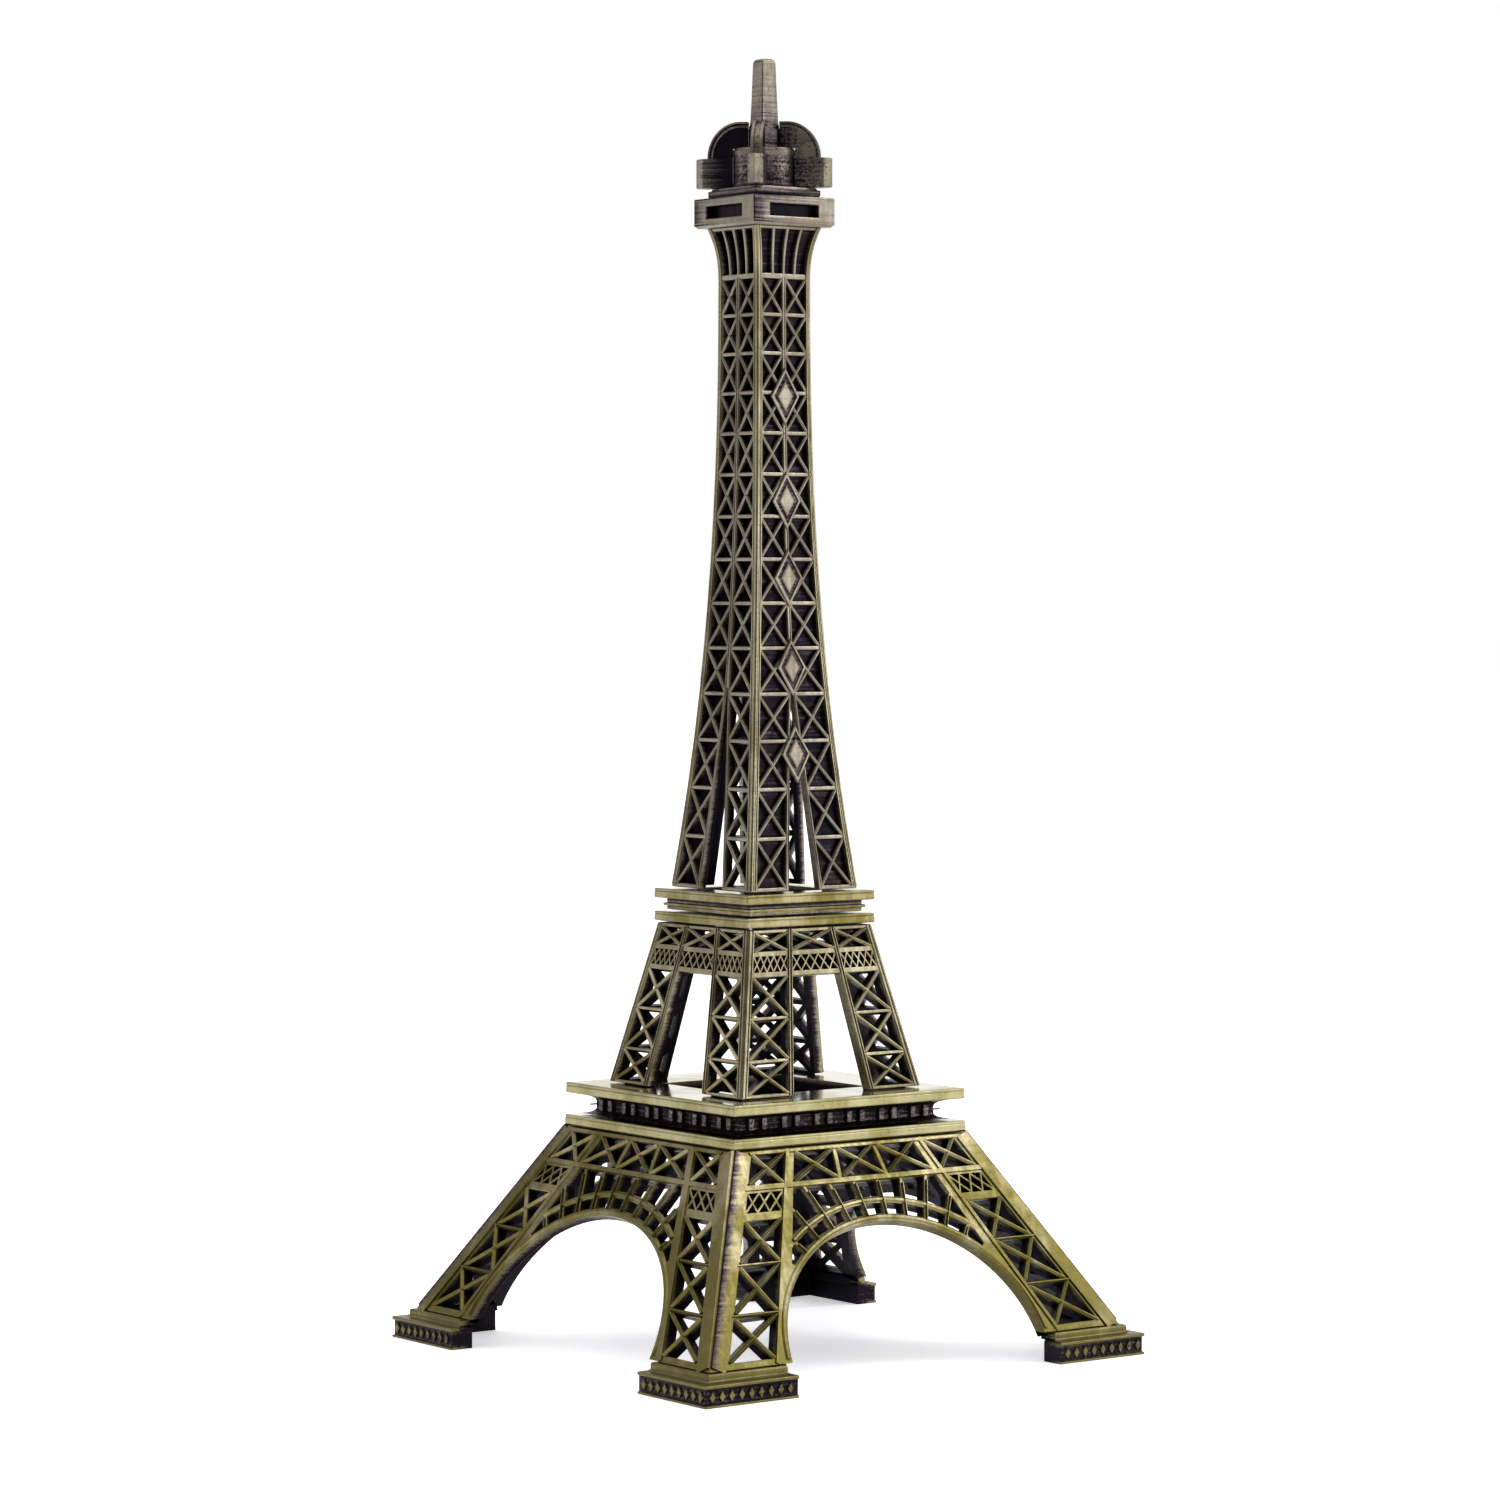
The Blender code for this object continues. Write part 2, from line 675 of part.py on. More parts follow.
# ------------------------------------------------------------------ gallery and crown
def build_gallery():
    """A square box with one long blind slot in each side and a spigot down into the shaft."""
    spigot = 3.9
    profile = [(GALLERY_HALF, GALLERY_TOP - FIT), (GALLERY_HALF, SHAFT_TOP + 0.3), (6.7, SHAFT_TOP),
               (spigot, SHAFT_TOP), (spigot, SHAFT_TOP - 1.3)]
    gallery = add_square_turning("gallery_box", profile, BRONZE_LIGHT)
    slot = 4.17
    deep = GALLERY_HALF - 1.4
    low, high = 157.75, 159.45
    beyond = GALLERY_HALF + 1.0
    socket = 2.0
    cuts = boxes([((-slot, -beyond, low), (slot, -deep, high)),
                  ((-slot, deep, low), (slot, beyond, high)),
                  ((-beyond, -slot, low), (-deep, slot, high)),
                  ((deep, -slot, low), (beyond, slot, high)),
                  ((-socket, -socket, GALLERY_TOP - 1.2), (socket, socket, GALLERY_TOP + 1.0))])
    combine(gallery, "gallery_box_cuts", cuts, "DIFFERENCE")


def build_step_plate():
    peg = 1.8
    profile = [(STEP_HALF, STEP_TOP - FIT), (STEP_HALF, GALLERY_TOP), (peg, GALLERY_TOP),
               (peg, GALLERY_TOP - 1.0)]
    add_square_turning("step_plate", profile, BRONZE)


def build_drum():
    """The round lantern room, with a blind hole for the pin of the spire."""
    mesh = cylinder(4.3, STEP_TOP, DRUM_TOP, 32)
    mesh.shade_smooth()
    mesh.set_sharp_from_angle(angle=math.radians(40.0))
    drum = add_piece("lantern_drum", mesh, BRONZE)
    combine(drum, "lantern_drum_hole", cylinder(1.0, DRUM_TOP - 1.8, DRUM_TOP + 1.0, 20), "DIFFERENCE")


def build_spire():
    """A tapered square spire on a short pillar, rounded at the top and pinned to the drum."""
    pin = 0.72
    profile = [(0.75, TOWER_TOP), (1.02, TOWER_TOP - 0.15), (1.15, TOWER_TOP - 0.5), (1.45, FIN_TOP),
               (1.47, DRUM_TOP + FIT), (pin, DRUM_TOP + FIT), (pin, DRUM_TOP - 1.6)]
    add_square_turning("spire", profile, BRONZE_LIGHT)


def on_diagonal(mesh):
    """Turn a mesh made along +X so that it runs out to the front left corner."""
    mesh.transform(Matrix.Rotation(math.radians(225.0), 4, "Z"))
    return mesh


def upright_plate(profile, half_thickness):
    """A plate that stands on the diagonal, from a profile of (distance out, height)."""
    mesh = plate([profile], -half_thickness, half_thickness)
    mesh.transform(Matrix.Rotation(QUARTER, 4, "X"))
    return on_diagonal(mesh)


def shoulder(radius_out, rise, count=8):
    """The rounded outer shoulder of a crown fin."""
    angles = [QUARTER * step / count for step in range(count + 1)]
    return [(3.3 + radius_out * math.cos(angle), ARM_TOP + rise * math.sin(angle)) for angle in angles]


def build_crown_arms():
    """Four diagonal arms: a block with a pointed end, and an arched fin with a raised rim."""
    inner, drum_side = 2.35, 4.55
    over_drum = DRUM_TOP + FIT
    plan = [(drum_side, -1.1), (8.5, -1.1), (9.6, 0.0), (8.5, 1.1), (drum_side, 1.1)]
    block = on_diagonal(plate([plan], STEP_TOP + 0.15, ARM_TOP))
    reach, rise = 4.6, FIN_TOP - ARM_TOP
    band = 0.8
    web = [(drum_side, 165.0), (7.0, 165.0)]
    web += shoulder(reach - 0.3, rise - 0.3)
    web += [(inner, FIN_TOP - 0.3), (inner, over_drum), (drum_side, over_drum)]
    rim = [(3.3 + reach, 165.6)] + shoulder(reach, rise) + [(inner, FIN_TOP), (inner, FIN_TOP - band)]
    rim += list(reversed(shoulder(reach - band, rise - band))) + [(3.3 + reach - band, 165.6)]
    arm = add_piece("crown_arm_" + CORNERS[0], block, BRONZE)
    combine(arm, "crown_arm_web", upright_plate(web, 0.45), "UNION")
    combine(arm, "crown_arm_rim", upright_plate(rim, 0.83), "UNION")
    add_other_quarters("crown_arm_", CORNERS, arm, BRONZE)


# ------------------------------------------------------------------ the tower
clear_scene()
TOWER = make_collection("lattice_tower_model")
CUTTERS = make_collection("cutters")
build_feet()
build_base_sides()
build_first_platform()
build_mid_sides()
build_second_platform()
build_shaft_sides()
build_gallery()
build_step_plate()
build_drum()
build_spire()
build_crown_arms()
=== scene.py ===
"""The looks of a desk-size lattice tower, cast in metal, plated antique bronze and brushed back.

Sizes in this file are in millimetres and are turned into metres where a mesh is made.
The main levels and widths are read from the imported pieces.  Every side is modelled for the
front of the tower, where u runs sideways and v up the face, and is then turned round the axis.
"""

import math

import bmesh
import bpy
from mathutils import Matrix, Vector
from mathutils.geometry import delaunay_2d_cdt


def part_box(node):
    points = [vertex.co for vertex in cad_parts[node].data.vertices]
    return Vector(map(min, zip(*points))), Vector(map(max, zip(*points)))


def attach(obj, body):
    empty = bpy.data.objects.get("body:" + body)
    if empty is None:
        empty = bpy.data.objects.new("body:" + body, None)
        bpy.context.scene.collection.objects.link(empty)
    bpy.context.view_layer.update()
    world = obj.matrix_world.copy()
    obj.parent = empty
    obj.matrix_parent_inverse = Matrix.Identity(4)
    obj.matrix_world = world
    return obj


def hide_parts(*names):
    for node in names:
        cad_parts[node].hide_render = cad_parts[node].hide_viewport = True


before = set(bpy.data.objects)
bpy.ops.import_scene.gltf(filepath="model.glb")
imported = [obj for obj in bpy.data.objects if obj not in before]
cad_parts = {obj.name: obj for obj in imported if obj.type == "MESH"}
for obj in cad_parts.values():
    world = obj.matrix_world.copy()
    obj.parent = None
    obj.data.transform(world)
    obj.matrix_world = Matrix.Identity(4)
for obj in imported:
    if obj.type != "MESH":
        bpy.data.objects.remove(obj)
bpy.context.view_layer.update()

MM = 0.001
SIDES = ("front", "right", "back", "left")
CORNERS = ("front_left", "front_right", "back_right", "back_left")
# Besides patina, the depth also holds painted shade on the outer edges of the sides.
DEPTH = "depth_mm"        # how far a point lies below the metal that the brush reaches
RAISED, TOPS = 0, 1       # a piece's first finish, and its second one where it has two


def extent(node):
    """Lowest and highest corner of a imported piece, in millimetres."""
    low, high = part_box(node)
    return low / MM, high / MM


# ---- driving sizes
FOOT_LOW, _ = extent("foot_front_left")
BASE_LOW, BASE_HIGH = extent("base_side_front")
CORNICE_LOW, CORNICE_HIGH = extent("first_cornice")
DECK_LOW, DECK_HIGH = extent("first_deck")
MID_LOW, MID_HIGH = extent("mid_side_front")
LOWER_SLAB_LOW, LOWER_SLAB_HIGH = extent("second_lower_slab")
UPPER_SLAB_LOW, UPPER_SLAB_HIGH = extent("second_upper_slab")
SHAFT_LOW, SHAFT_HIGH = extent("shaft_side_front")
_, GALLERY_HIGH = extent("gallery_box")
_, STEP_HIGH = extent("step_plate")
DRUM_LOW, DRUM_HIGH = extent("lantern_drum")
_, SPIRE_HIGH = extent("spire")
_, ARM_HIGH = extent("crown_arm_front_left")

SEAM = 0.01             # left open on either side of a mitred corner
FOOT_TOP = 3.0
BASE_HEAD_HALF = 20.25
MID_HEAD_HALF = 10.66
BASE_WALL = 1.6
MID_WALL = 1.5
SHAFT_WALL = 1.1
SHAFT_FLOOR = 0.72
LOZENGE_FLOOR = 0.8
SHAFT_ROWS_TOP = 149.5   # the flare starts here
SHAFT_HEAD_HALF = 4.55
FLARE_HALF = 5.65

# The rounding of a raised edge: how far in from the edge, and how far down.
EDGE = ((0.14, 0.0), (0.05, 0.04), (0.0, 0.15))
DRAFT = 0.16             # how much a hole narrows towards the back of its casting
# Patina and painted shade: the outer edges of the left and right sides are made darker than those of the
# front and back.
EDGE_PATINA_AND_SHADE = (0.25, 0.95, 0.45, 0.95)     # how dark the outer edges of the sides are, as a depth


# ---- flat pattern helpers
def between(low, high, share):
    return low + (high - low) * share


def point_between(p, q, share):
    return (between(p[0], q[0], share), between(p[1], q[1], share))


def crossing_of(a, c, b, d):
    """Where the line from a to c meets the line from b to d."""
    a_u, a_v = c[0] - a[0], c[1] - a[1]
    b_u, b_v = d[0] - b[0], d[1] - b[1]
    reach = ((b[0] - a[0]) * b_v - (b[1] - a[1]) * b_u) / (a_u * b_v - a_v * b_u)
    return (a[0] + a_u * reach, a[1] + a_v * reach)


def side_normals(polygon):
    """The outward direction of each side of an anticlockwise polygon."""
    normals = []
    for index, (u, v) in enumerate(polygon):
        next_u, next_v = polygon[(index + 1) % len(polygon)]
        length = math.hypot(next_u - u, next_v - v)
        normals.append(((next_v - v) / length, (u - next_u) / length))
    return normals


def offset(polygon, distances, longest=10.0):
    """Move each side of an anticlockwise polygon out by its own distance.

    A corner moves no further than so many times the larger distance.
    """
    normals = side_normals(polygon)
    moved = []
    for index, (u, v) in enumerate(polygon):
        (a_u, a_v), (b_u, b_v) = normals[index - 1], normals[index]
        a, b = distances[index - 1], distances[index]
        cross = a_u * b_v - a_v * b_u
        if abs(cross) < 1e-3:
            shift_u, shift_v = a_u * a, a_v * a
        else:
            shift_u, shift_v = (a * b_v - b * a_v) / cross, (b * a_u - a * b_u) / cross
        limit = longest * max(abs(a), abs(b))
        scale = min(1.0, limit / max(1e-9, math.hypot(shift_u, shift_v)))
        moved.append((u + shift_u * scale, v + shift_v * scale))
    return moved


def grown(polygon, distance):
    return offset(polygon, [distance] * len(polygon), 2.5)


def cross_braced(opening, bar):
    """The four triangular holes left when an X of bars is set in a four-sided opening."""
    a, b, c, d = opening
    middle = crossing_of(a, c, b, d)
    half = -bar / 2.0
    return [offset([start, end, middle], [0.0, half, half])
            for start, end in ((a, b), (b, c), (c, d), (d, a))]


def lozenge_row(opening, count, bar):
    """The holes of a row of small crosses with no upright between them."""
    a, b, c, d = opening
    low = [point_between(a, b, i / count) for i in range(count + 1)]
    high = [point_between(d, c, i / count) for i in range(count + 1)]
    centres = [crossing_of(low[i], high[i + 1], low[i + 1], high[i]) for i in range(count)]
    half = -bar / 2.0
    holes = [offset([low[0], centres[0], high[0]], [half, half, 0.0]),
             offset([low[-1], high[-1], centres[-1]], [0.0, half, half])]
    for i, centre in enumerate(centres):
        holes.append(offset([low[i], low[i + 1], centre], [0.0, half, half]))
        holes.append(offset([high[i + 1], high[i], centre], [0.0, half, half]))
    for i in range(1, count):
        holes.append(grown([centres[i - 1], low[i], centres[i], high[i]], half))
    return holes


def clipped(polygon, point, inward):
    """The part of a convex polygon on the inward side of a line."""
    kept = []
    for index, here in enumerate(polygon):
        before = polygon[index - 1]
        depth_here = (here[0] - point[0]) * inward[0] + (here[1] - point[1]) * inward[1]
        depth_before = (before[0] - point[0]) * inward[0] + (before[1] - point[1]) * inward[1]
        if depth_here * depth_before < 0:
            share = depth_before / (depth_before - depth_here)
            kept.append(point_between(before, here, share))
        if depth_here >= 0:
            kept.append(here)
    return kept


def without_short_sides(polygon, shortest):
    """Drop a corner that lies too close to the one before it."""
    return [here for index, here in enumerate(polygon)
            if math.dist(here, polygon[index - 1]) > shortest]


def polygon_area(polygon):
    return 0.5 * sum(polygon[i - 1][0] * polygon[i][1] - polygon[i][0] * polygon[i - 1][1]
                     for i in range(len(polygon)))


def mirrored(polygon):
    """The same polygon on the other side of the centre line, still anticlockwise."""
    return [(-u, v) for u, v in reversed(polygon)]


def with_mirrored(polygons):
    return polygons + [mirrored(polygon) for polygon in polygons]


def encloses(polygon, u, v):
    """Whether a point lies inside a polygon, by counting the sides beyond it."""
    inside = False
    for index, (here_u, here_v) in enumerate(polygon):
        before_u, before_v = polygon[index - 1]
        if (here_v > v) != (before_v > v):
            if before_u + (here_u - before_u) * (v - before_v) / (here_v - before_v) > u:
                inside = not inside
    return inside


# ---- mesh builders
class Shape:
    """Closed shells gathered for one mesh, in millimetres, with a depth for every point."""

    def __init__(self):
        self.points = []
        self.depths = []
        self.faces = []
        self.finishes = []

    def add(self, points, faces, depths, finish=RAISED):
        start = len(self.points)
        self.points.extend(points)
        self.depths.extend(depths)
        self.faces.extend(tuple(start + corner for corner in face) for face in faces)
        self.finishes.extend([finish] * len(faces))

    def add_all(self, shells, finish=RAISED):
        for shell in shells:
            self.add(*shell, finish)

    def add_turned(self, shell, quarter_turns):
        """Add a shell after turning it about the tower's axis."""
        points, faces, depths = shell
        self.add([turned(point, quarter_turns) / MM for point in points], faces, depths)

    def make(self, name, quarter_turns, materials, bevel=0.0):
        """One object, turned about the tower's axis, with its faces pointing out."""
        mesh = bpy.data.meshes.new(name)
        mesh.from_pydata([turned(point, quarter_turns) for point in self.points], [], self.faces)
        mesh.attributes.new(DEPTH, "FLOAT", "POINT").data.foreach_set("value", self.depths)
        mesh.polygons.foreach_set("material_index", self.finishes)
        for material in materials:
            mesh.materials.append(material)
        work = bmesh.new()
        work.from_mesh(mesh)
        bmesh.ops.recalc_face_normals(work, faces=work.faces)
        work.to_mesh(mesh)
        work.free()
        mesh.update()
        piece = add_object(name, mesh)
        if bevel:
            add_bevel(piece, bevel)
        return piece


def add_object(name, data):
    made = bpy.data.objects.new(name, data)
    bpy.context.scene.collection.objects.link(made)
    return made


def add_bevel(piece, width):
    modifier = piece.modifiers.new("soft_edges", "BEVEL")
    modifier.width = width * MM
    modifier.segments = 2
    modifier.limit_method = "ANGLE"
    modifier.angle_limit = math.radians(35.0)
    modifier.harden_normals = False


def turned(point, quarter_turns):
    """A point in millimetres, turned about the tower's axis and given in metres."""
    x, y, z = point
    for _ in range(quarter_turns):
        x, y = -y, x
    return Vector((x * MM, y * MM, z * MM))


def panel(outline, open_holes, sunk_holes, place, wall, floor, sunk_edge=1.0, edge_patina_and_shade=0.3):
    """A cast plate with rounded edges, holes through it and others that stop at a floor.

    place(u, v, depth) gives the point that lies so far below the outer face, and
    sunk_edge says how much rounder or sharper the edges of the sunk holes are.
    """
    loops = [outline] + open_holes + sunk_holes
    first_sunk = 1 + len(open_holes)
    points, depths, faces = [], [], []
    rims, edges, owners = [], [], []
    top_index, back_index, floor_index = [], [], []
    for number, loop in enumerate(loops):
        scale = -1.0 if number == 0 else 1.0 if number < first_sunk else sunk_edge
        steps = [(grow * scale, depth * abs(scale)) for grow, depth in EDGE]
        if number == 0:
            steps += [(0.0, wall - 0.06), (-0.05, wall)]
        elif number < first_sunk:
            steps.append((-DRAFT, wall))
        else:
            steps.append((-DRAFT * floor / wall, floor))
        start = len(points)
        size = len(loop)
        for grow, depth in steps:
            for u, v in grown(loop, grow):
                points.append(place(u, v, depth))
                # The outer edge faces go no darker than the given edge value, which is patina and, where it
                # differs from side to side, painted shade.
                depths.append(min(depth, edge_patina_and_shade) if number == 0 and depth < wall else depth)
        for level in range(len(steps) - 1):
            for corner in range(size):
                here = start + level * size + corner
                following = start + level * size + (corner + 1) % size
                faces.append((here, following, following + size, here + size))
        last = start + (len(steps) - 1) * size
        edges += [(len(owners) + corner, len(owners) + (corner + 1) % size) for corner in range(size)]
        owners += [number] * size
        rims.append(grown(loop, EDGE[0][0] * scale))
        top_index += range(start, start + size)
        floor_index += range(last, last + size)
        if number < first_sunk:
            back_index += range(last, last + size)
        else:
            back_index += range(len(points), len(points) + size)
            points += [place(u, v, wall) for u, v in loop]
            depths += [wall] * size
    flat = [Vector(point) for rim in rims for point in rim]
    corners, _, triangles, _, _, _ = delaunay_2d_cdt(flat, edges, [], 1, 1e-6)
    if len(corners) != len(flat):
        raise ValueError("holes of the pattern touch each other")
    for triangle in triangles:
        u = sum(corners[index].x for index in triangle) / 3.0
        v = sum(corners[index].y for index in triangle) / 3.0
        # A triangle in a hole has all its corners on the rim of that hole.
        owner = owners[triangle[0]]
        in_hole = owner > 0 and encloses(rims[owner], u, v)
        if in_hole and owner < first_sunk:
            continue
        faces.append(tuple((floor_index if in_hole else top_index)[index] for index in triangle))
        faces.append(tuple(back_index[index] for index in reversed(triangle)))
    return points, faces, depths


def ridge(path, place, width, height, slope=0.1, tarnish=0.0):
    """A raised strip with sloping sides that runs over a face along a flat path.

    tarnish is how much darker it is, as a depth, along its left edge.
    """
    half = width / 2.0
    section = ((-half, -0.08), (min(0.0, slope - half), height), (max(0.0, half - slope), height),
               (half, -0.08))
    points, depths, faces = [], [], []
    for index, (u, v) in enumerate(path):
        before = path[max(0, index - 1)]
        after = path[min(len(path) - 1, index + 1)]
        length = math.dist(before, after)
        along = ((after[0] - before[0]) / length, (after[1] - before[1]) / length)
        for aside, rise in section:
            points.append(place(u - along[1] * aside, v + along[0] * aside, -rise))
            depths.append(tarnish - rise if aside > 0.0 else -rise)
    for level in range(len(path) - 1):
        low = 4 * level
        faces += [(low + k, low + (k + 1) % 4, low + 4 + (k + 1) % 4, low + 4 + k) for k in range(4)]
    last = len(points) - 4
    faces += [(3, 2, 1, 0), (last, last + 1, last + 2, last + 3)]
    return points, faces, depths


def beaded_rib(start, end, place, width, height, pitch):
    """A ridge cut into short beads."""
    count = max(1, round(math.dist(start, end) / pitch))
    gap = 0.1
    beads = []
    for index in range(count):
        low, high = (index + gap) / count, (index + 1.0 - gap) / count
        beads.append(ridge([point_between(start, end, low), point_between(start, end, high)],
                           place, width, height, 0.06))
    return beads


def brace_ridges(cells, place, *looks):
    """A ridge on both braces of each cell, from the width, height and slope of the two."""
    return [ridge(ends, place, *look) for a, b, c, d in cells
            for ends, look in zip(([a, c], [b, d]), looks)]


def path_along(edge, side, inset, levels):
    """A path over some levels of one side that keeps so far in from an edge."""
    return [(side * (edge(v) - inset), v) for v in levels]


def loft(rings, depth=0.0):
    """A closed solid through a stack of rings that all have the same corner count."""
    count = len(rings[0])
    points = [point for ring in rings for point in ring]
    faces = [tuple(reversed(range(count)))]
    for level in range(len(rings) - 1):
        low = level * count
        for corner in range(count):
            following = (corner + 1) % count
            faces.append((low + corner, low + following, low + count + following, low + count + corner))
    faces.append(tuple(range(len(points) - count, len(points))))
    return points, faces, [depth] * len(points)


def square_ring(half, z):
    return [(-half, -half, z), (half, -half, z), (half, half, z), (-half, half, z)]


def round_ring(radius, z, count=64):
    steps = [2.0 * math.pi * index / count for index in range(count)]
    return [(radius * math.cos(angle), radius * math.sin(angle), z) for angle in steps]


def flat_ring(plan, z):
    return [(x, y, z) for x, y in plan]


def stacked(profile, ring_of):
    """A closed solid from a profile of (half width, height, depth) and the kind of its rings."""
    rings = [ring_of(half, z) for half, z, _ in profile]
    points, faces, _ = loft(rings)
    return points, faces, [depth for _, _, depth in profile for _ in rings[0]]


def box(low, high, depth=0.0):
    """A closed box between two opposite corners."""
    plan = [(low[0], low[1]), (high[0], low[1]), (high[0], high[1]), (low[0], high[1])]
    return loft([flat_ring(plan, low[2]), flat_ring(plan, high[2])], depth)


def square_frame(shape, profile):
    """A square slab with a well, from an edge profile of (half width, height, depth).

    The profile runs up the outside, in over the top, down the well and back below.
    """
    points, depths, faces, finishes = [], [], [], []
    count = len(profile)
    for level, (half, z, depth) in enumerate(profile):
        points += square_ring(half, z)
        depths += [depth] * 4
        following = (level + 1) % count
        next_half, next_z, _ = profile[following]
        is_top = abs(next_z - z) < 0.02 and next_half < half - 1.0 and z > profile[0][1] + 0.2
        faces += [(4 * level + k, 4 * level + (k + 1) % 4, 4 * following + (k + 1) % 4, 4 * following + k)
                  for k in range(4)]
        finishes += [TOPS if is_top else RAISED] * 4
    shape.add(points, faces, depths)
    shape.finishes[-len(finishes):] = finishes


# ---- finishes
def node(tree, kind, **settings):
    made = tree.nodes.new(kind)
    for name, value in settings.items():
        setattr(made, name, value)
    return made


def link_value(tree, value, socket):
    """Feed a socket from another one, or set it to a plain value."""
    if isinstance(value, bpy.types.NodeSocket):
        tree.links.new(value, socket)
    else:
        socket.default_value = value


def blended(tree, low, high, share, mode="MIX"):
    mix = node(tree, "ShaderNodeMix", data_type="RGBA", blend_type=mode)
    link_value(tree, share, mix.inputs["Factor"])
    link_value(tree, low, mix.inputs["A"])
    link_value(tree, high, mix.inputs["B"])
    return mix.outputs["Result"]


def ramped(tree, value, low, high, out_low=0.0, out_high=1.0):
    spread = node(tree, "ShaderNodeMapRange", interpolation_type="SMOOTHSTEP")
    link_value(tree, value, spread.inputs["Value"])
    for name, number in (("From Min", low), ("From Max", high), ("To Min", out_low), ("To Max", out_high)):
        spread.inputs[name].default_value = number
    return spread.outputs["Result"]


def calculated(tree, operation, first, second=0.0):
    step = node(tree, "ShaderNodeMath", operation=operation)
    link_value(tree, first, step.inputs[0])
    link_value(tree, second, step.inputs[1])
    return step.outputs[0]


def multiply_add(tree, value, factor, addend):
    step = node(tree, "ShaderNodeMath", operation="MULTIPLY_ADD")
    for entry, socket in zip((value, factor, addend), step.inputs):
        link_value(tree, entry, socket)
    return step.outputs[0]


def grain(tree, cells_per_metre, detail=3.0, roughness=0.55):
    """Noise with its own number of cells per metre along each axis."""
    where = node(tree, "ShaderNodeTexCoord")
    spread = node(tree, "ShaderNodeMapping")
    spread.inputs["Scale"].default_value = cells_per_metre
    tree.links.new(where.outputs["Object"], spread.inputs["Vector"])
    pattern = node(tree, "ShaderNodeTexNoise")
    pattern.inputs["Scale"].default_value = 1.0
    pattern.inputs["Detail"].default_value = detail
    pattern.inputs["Roughness"].default_value = roughness
    tree.links.new(spread.outputs["Vector"], pattern.inputs["Vector"])
    return pattern.outputs["Fac"]


def shade(red, green, blue):
    return (red, green, blue, 1.0)


def new_material(name):
    material = bpy.data.materials.new(name)
    material.use_nodes = True
    tree = material.node_tree
    return material, tree, tree.nodes["Principled BSDF"]


def add_bump(tree, shader, height, strength, distance):
    """Fine relief from a height pattern; the distance is in millimetres."""
    bump = node(tree, "ShaderNodeBump")
    bump.inputs["Strength"].default_value = strength
    bump.inputs["Distance"].default_value = distance * MM
    tree.links.new(height, bump.inputs["Height"])
    tree.links.new(bump.outputs["Normal"], shader.inputs["Normal"])


PATINA = shade(0.0085, 0.0068, 0.0105)
PATINA_BROWN = shade(0.036, 0.027, 0.025)
STAIN = shade(0.082, 0.064, 0.070)


def antique_bronze(name, raised, worn, patina_start=0.32, patina_end=0.72, brushing=0.35, gloss=0.3,
                   speckling=0.35):
    """Bronze plating, brushed bright where the brush reaches and dark in the recesses."""
    material, tree, shader = new_material(name)
    depth = node(tree, "ShaderNodeAttribute", attribute_name=DEPTH).outputs["Fac"]
    lines = grain(tree, (60.0, 60.0, 3200.0), 4.0, 0.6)
    cross_lines = grain(tree, (1500.0, 1500.0, 160.0), 2.0)
    patches = grain(tree, (150.0, 150.0, 110.0), 4.0, 0.6)
    speckle = grain(tree, (3000.0, 3000.0, 3000.0), 2.0)
    ragged = multiply_add(tree, calculated(tree, "SUBTRACT", speckle, 0.5), speckling, depth)
    ragged = multiply_add(tree, calculated(tree, "SUBTRACT", lines, 0.5), 0.9, ragged)
    recess = ramped(tree, ragged, patina_start, patina_end)
    place = node(tree, "ShaderNodeSeparateXYZ")
    tree.links.new(node(tree, "ShaderNodeTexCoord").outputs["Object"], place.inputs["Vector"])
    low_down = ramped(tree, place.outputs["Z"], 3.0 * MM, 30.0 * MM, 0.18, 0.0)
    tone = blended(tree, raised, worn, ramped(tree, calculated(tree, "ADD", patches, low_down), 0.38, 0.66))
    tone = blended(tree, tone, STAIN, ramped(tree, ragged, 0.10, 0.48, 0.0, 0.85))
    tone = blended(tree, tone, PATINA_BROWN, ramped(tree, lines, 0.58, 0.80, 0.0, brushing))
    tone = blended(tree, tone, PATINA_BROWN, ramped(tree, speckle, 0.60, 0.74, 0.0, 0.5))
    dark = blended(tree, PATINA, PATINA_BROWN, ramped(tree, patches, 0.5, 0.8, 0.0, 0.7))
    tree.links.new(blended(tree, tone, dark, recess), shader.inputs["Base Color"])
    shader.inputs["Metallic"].default_value = 1.0
    rough = multiply_add(tree, lines, 0.16, ramped(tree, cross_lines, 0.3, 0.7, gloss - 0.08, gloss + 0.06))
    tree.links.new(multiply_add(tree, recess, 0.1, rough), shader.inputs["Roughness"])
    height = calculated(tree, "ADD", calculated(tree, "MULTIPLY", lines, 0.5),
                        calculated(tree, "MULTIPLY", speckle, 0.5))
    add_bump(tree, shader, height, 0.35, 0.05)
    return material


def polished_bronze(name, tint):
    """The level tops, rubbed bright under lacquer, with cloudy ochre patches painted in as a reflection."""
    material, tree, shader = new_material(name)
    clouds = grain(tree, (120.0, 120.0, 120.0), 3.0, 0.5)
    specks = grain(tree, (1800.0, 1800.0, 1800.0), 2.0)
    # Painted reflection: cloudy ochre mixed into the tint of the tops.
    tone = blended(tree, tint, shade(0.42, 0.35, 0.05), ramped(tree, clouds, 0.46, 0.64))
    tone = blended(tree, tone, PATINA_BROWN, ramped(tree, specks, 0.66, 0.76, 0.0, 0.6))
    tree.links.new(tone, shader.inputs["Base Color"])
    shader.inputs["Metallic"].default_value = 1.0
    tree.links.new(ramped(tree, clouds, 0.3, 0.7, 0.1, 0.22), shader.inputs["Roughness"])
    shader.inputs["Coat Weight"].default_value = 0.5
    shader.inputs["Coat Roughness"].default_value = 0.06
    add_bump(tree, shader, grain(tree, (700.0, 700.0, 700.0), 3.0), 0.2, 0.06)
    return material


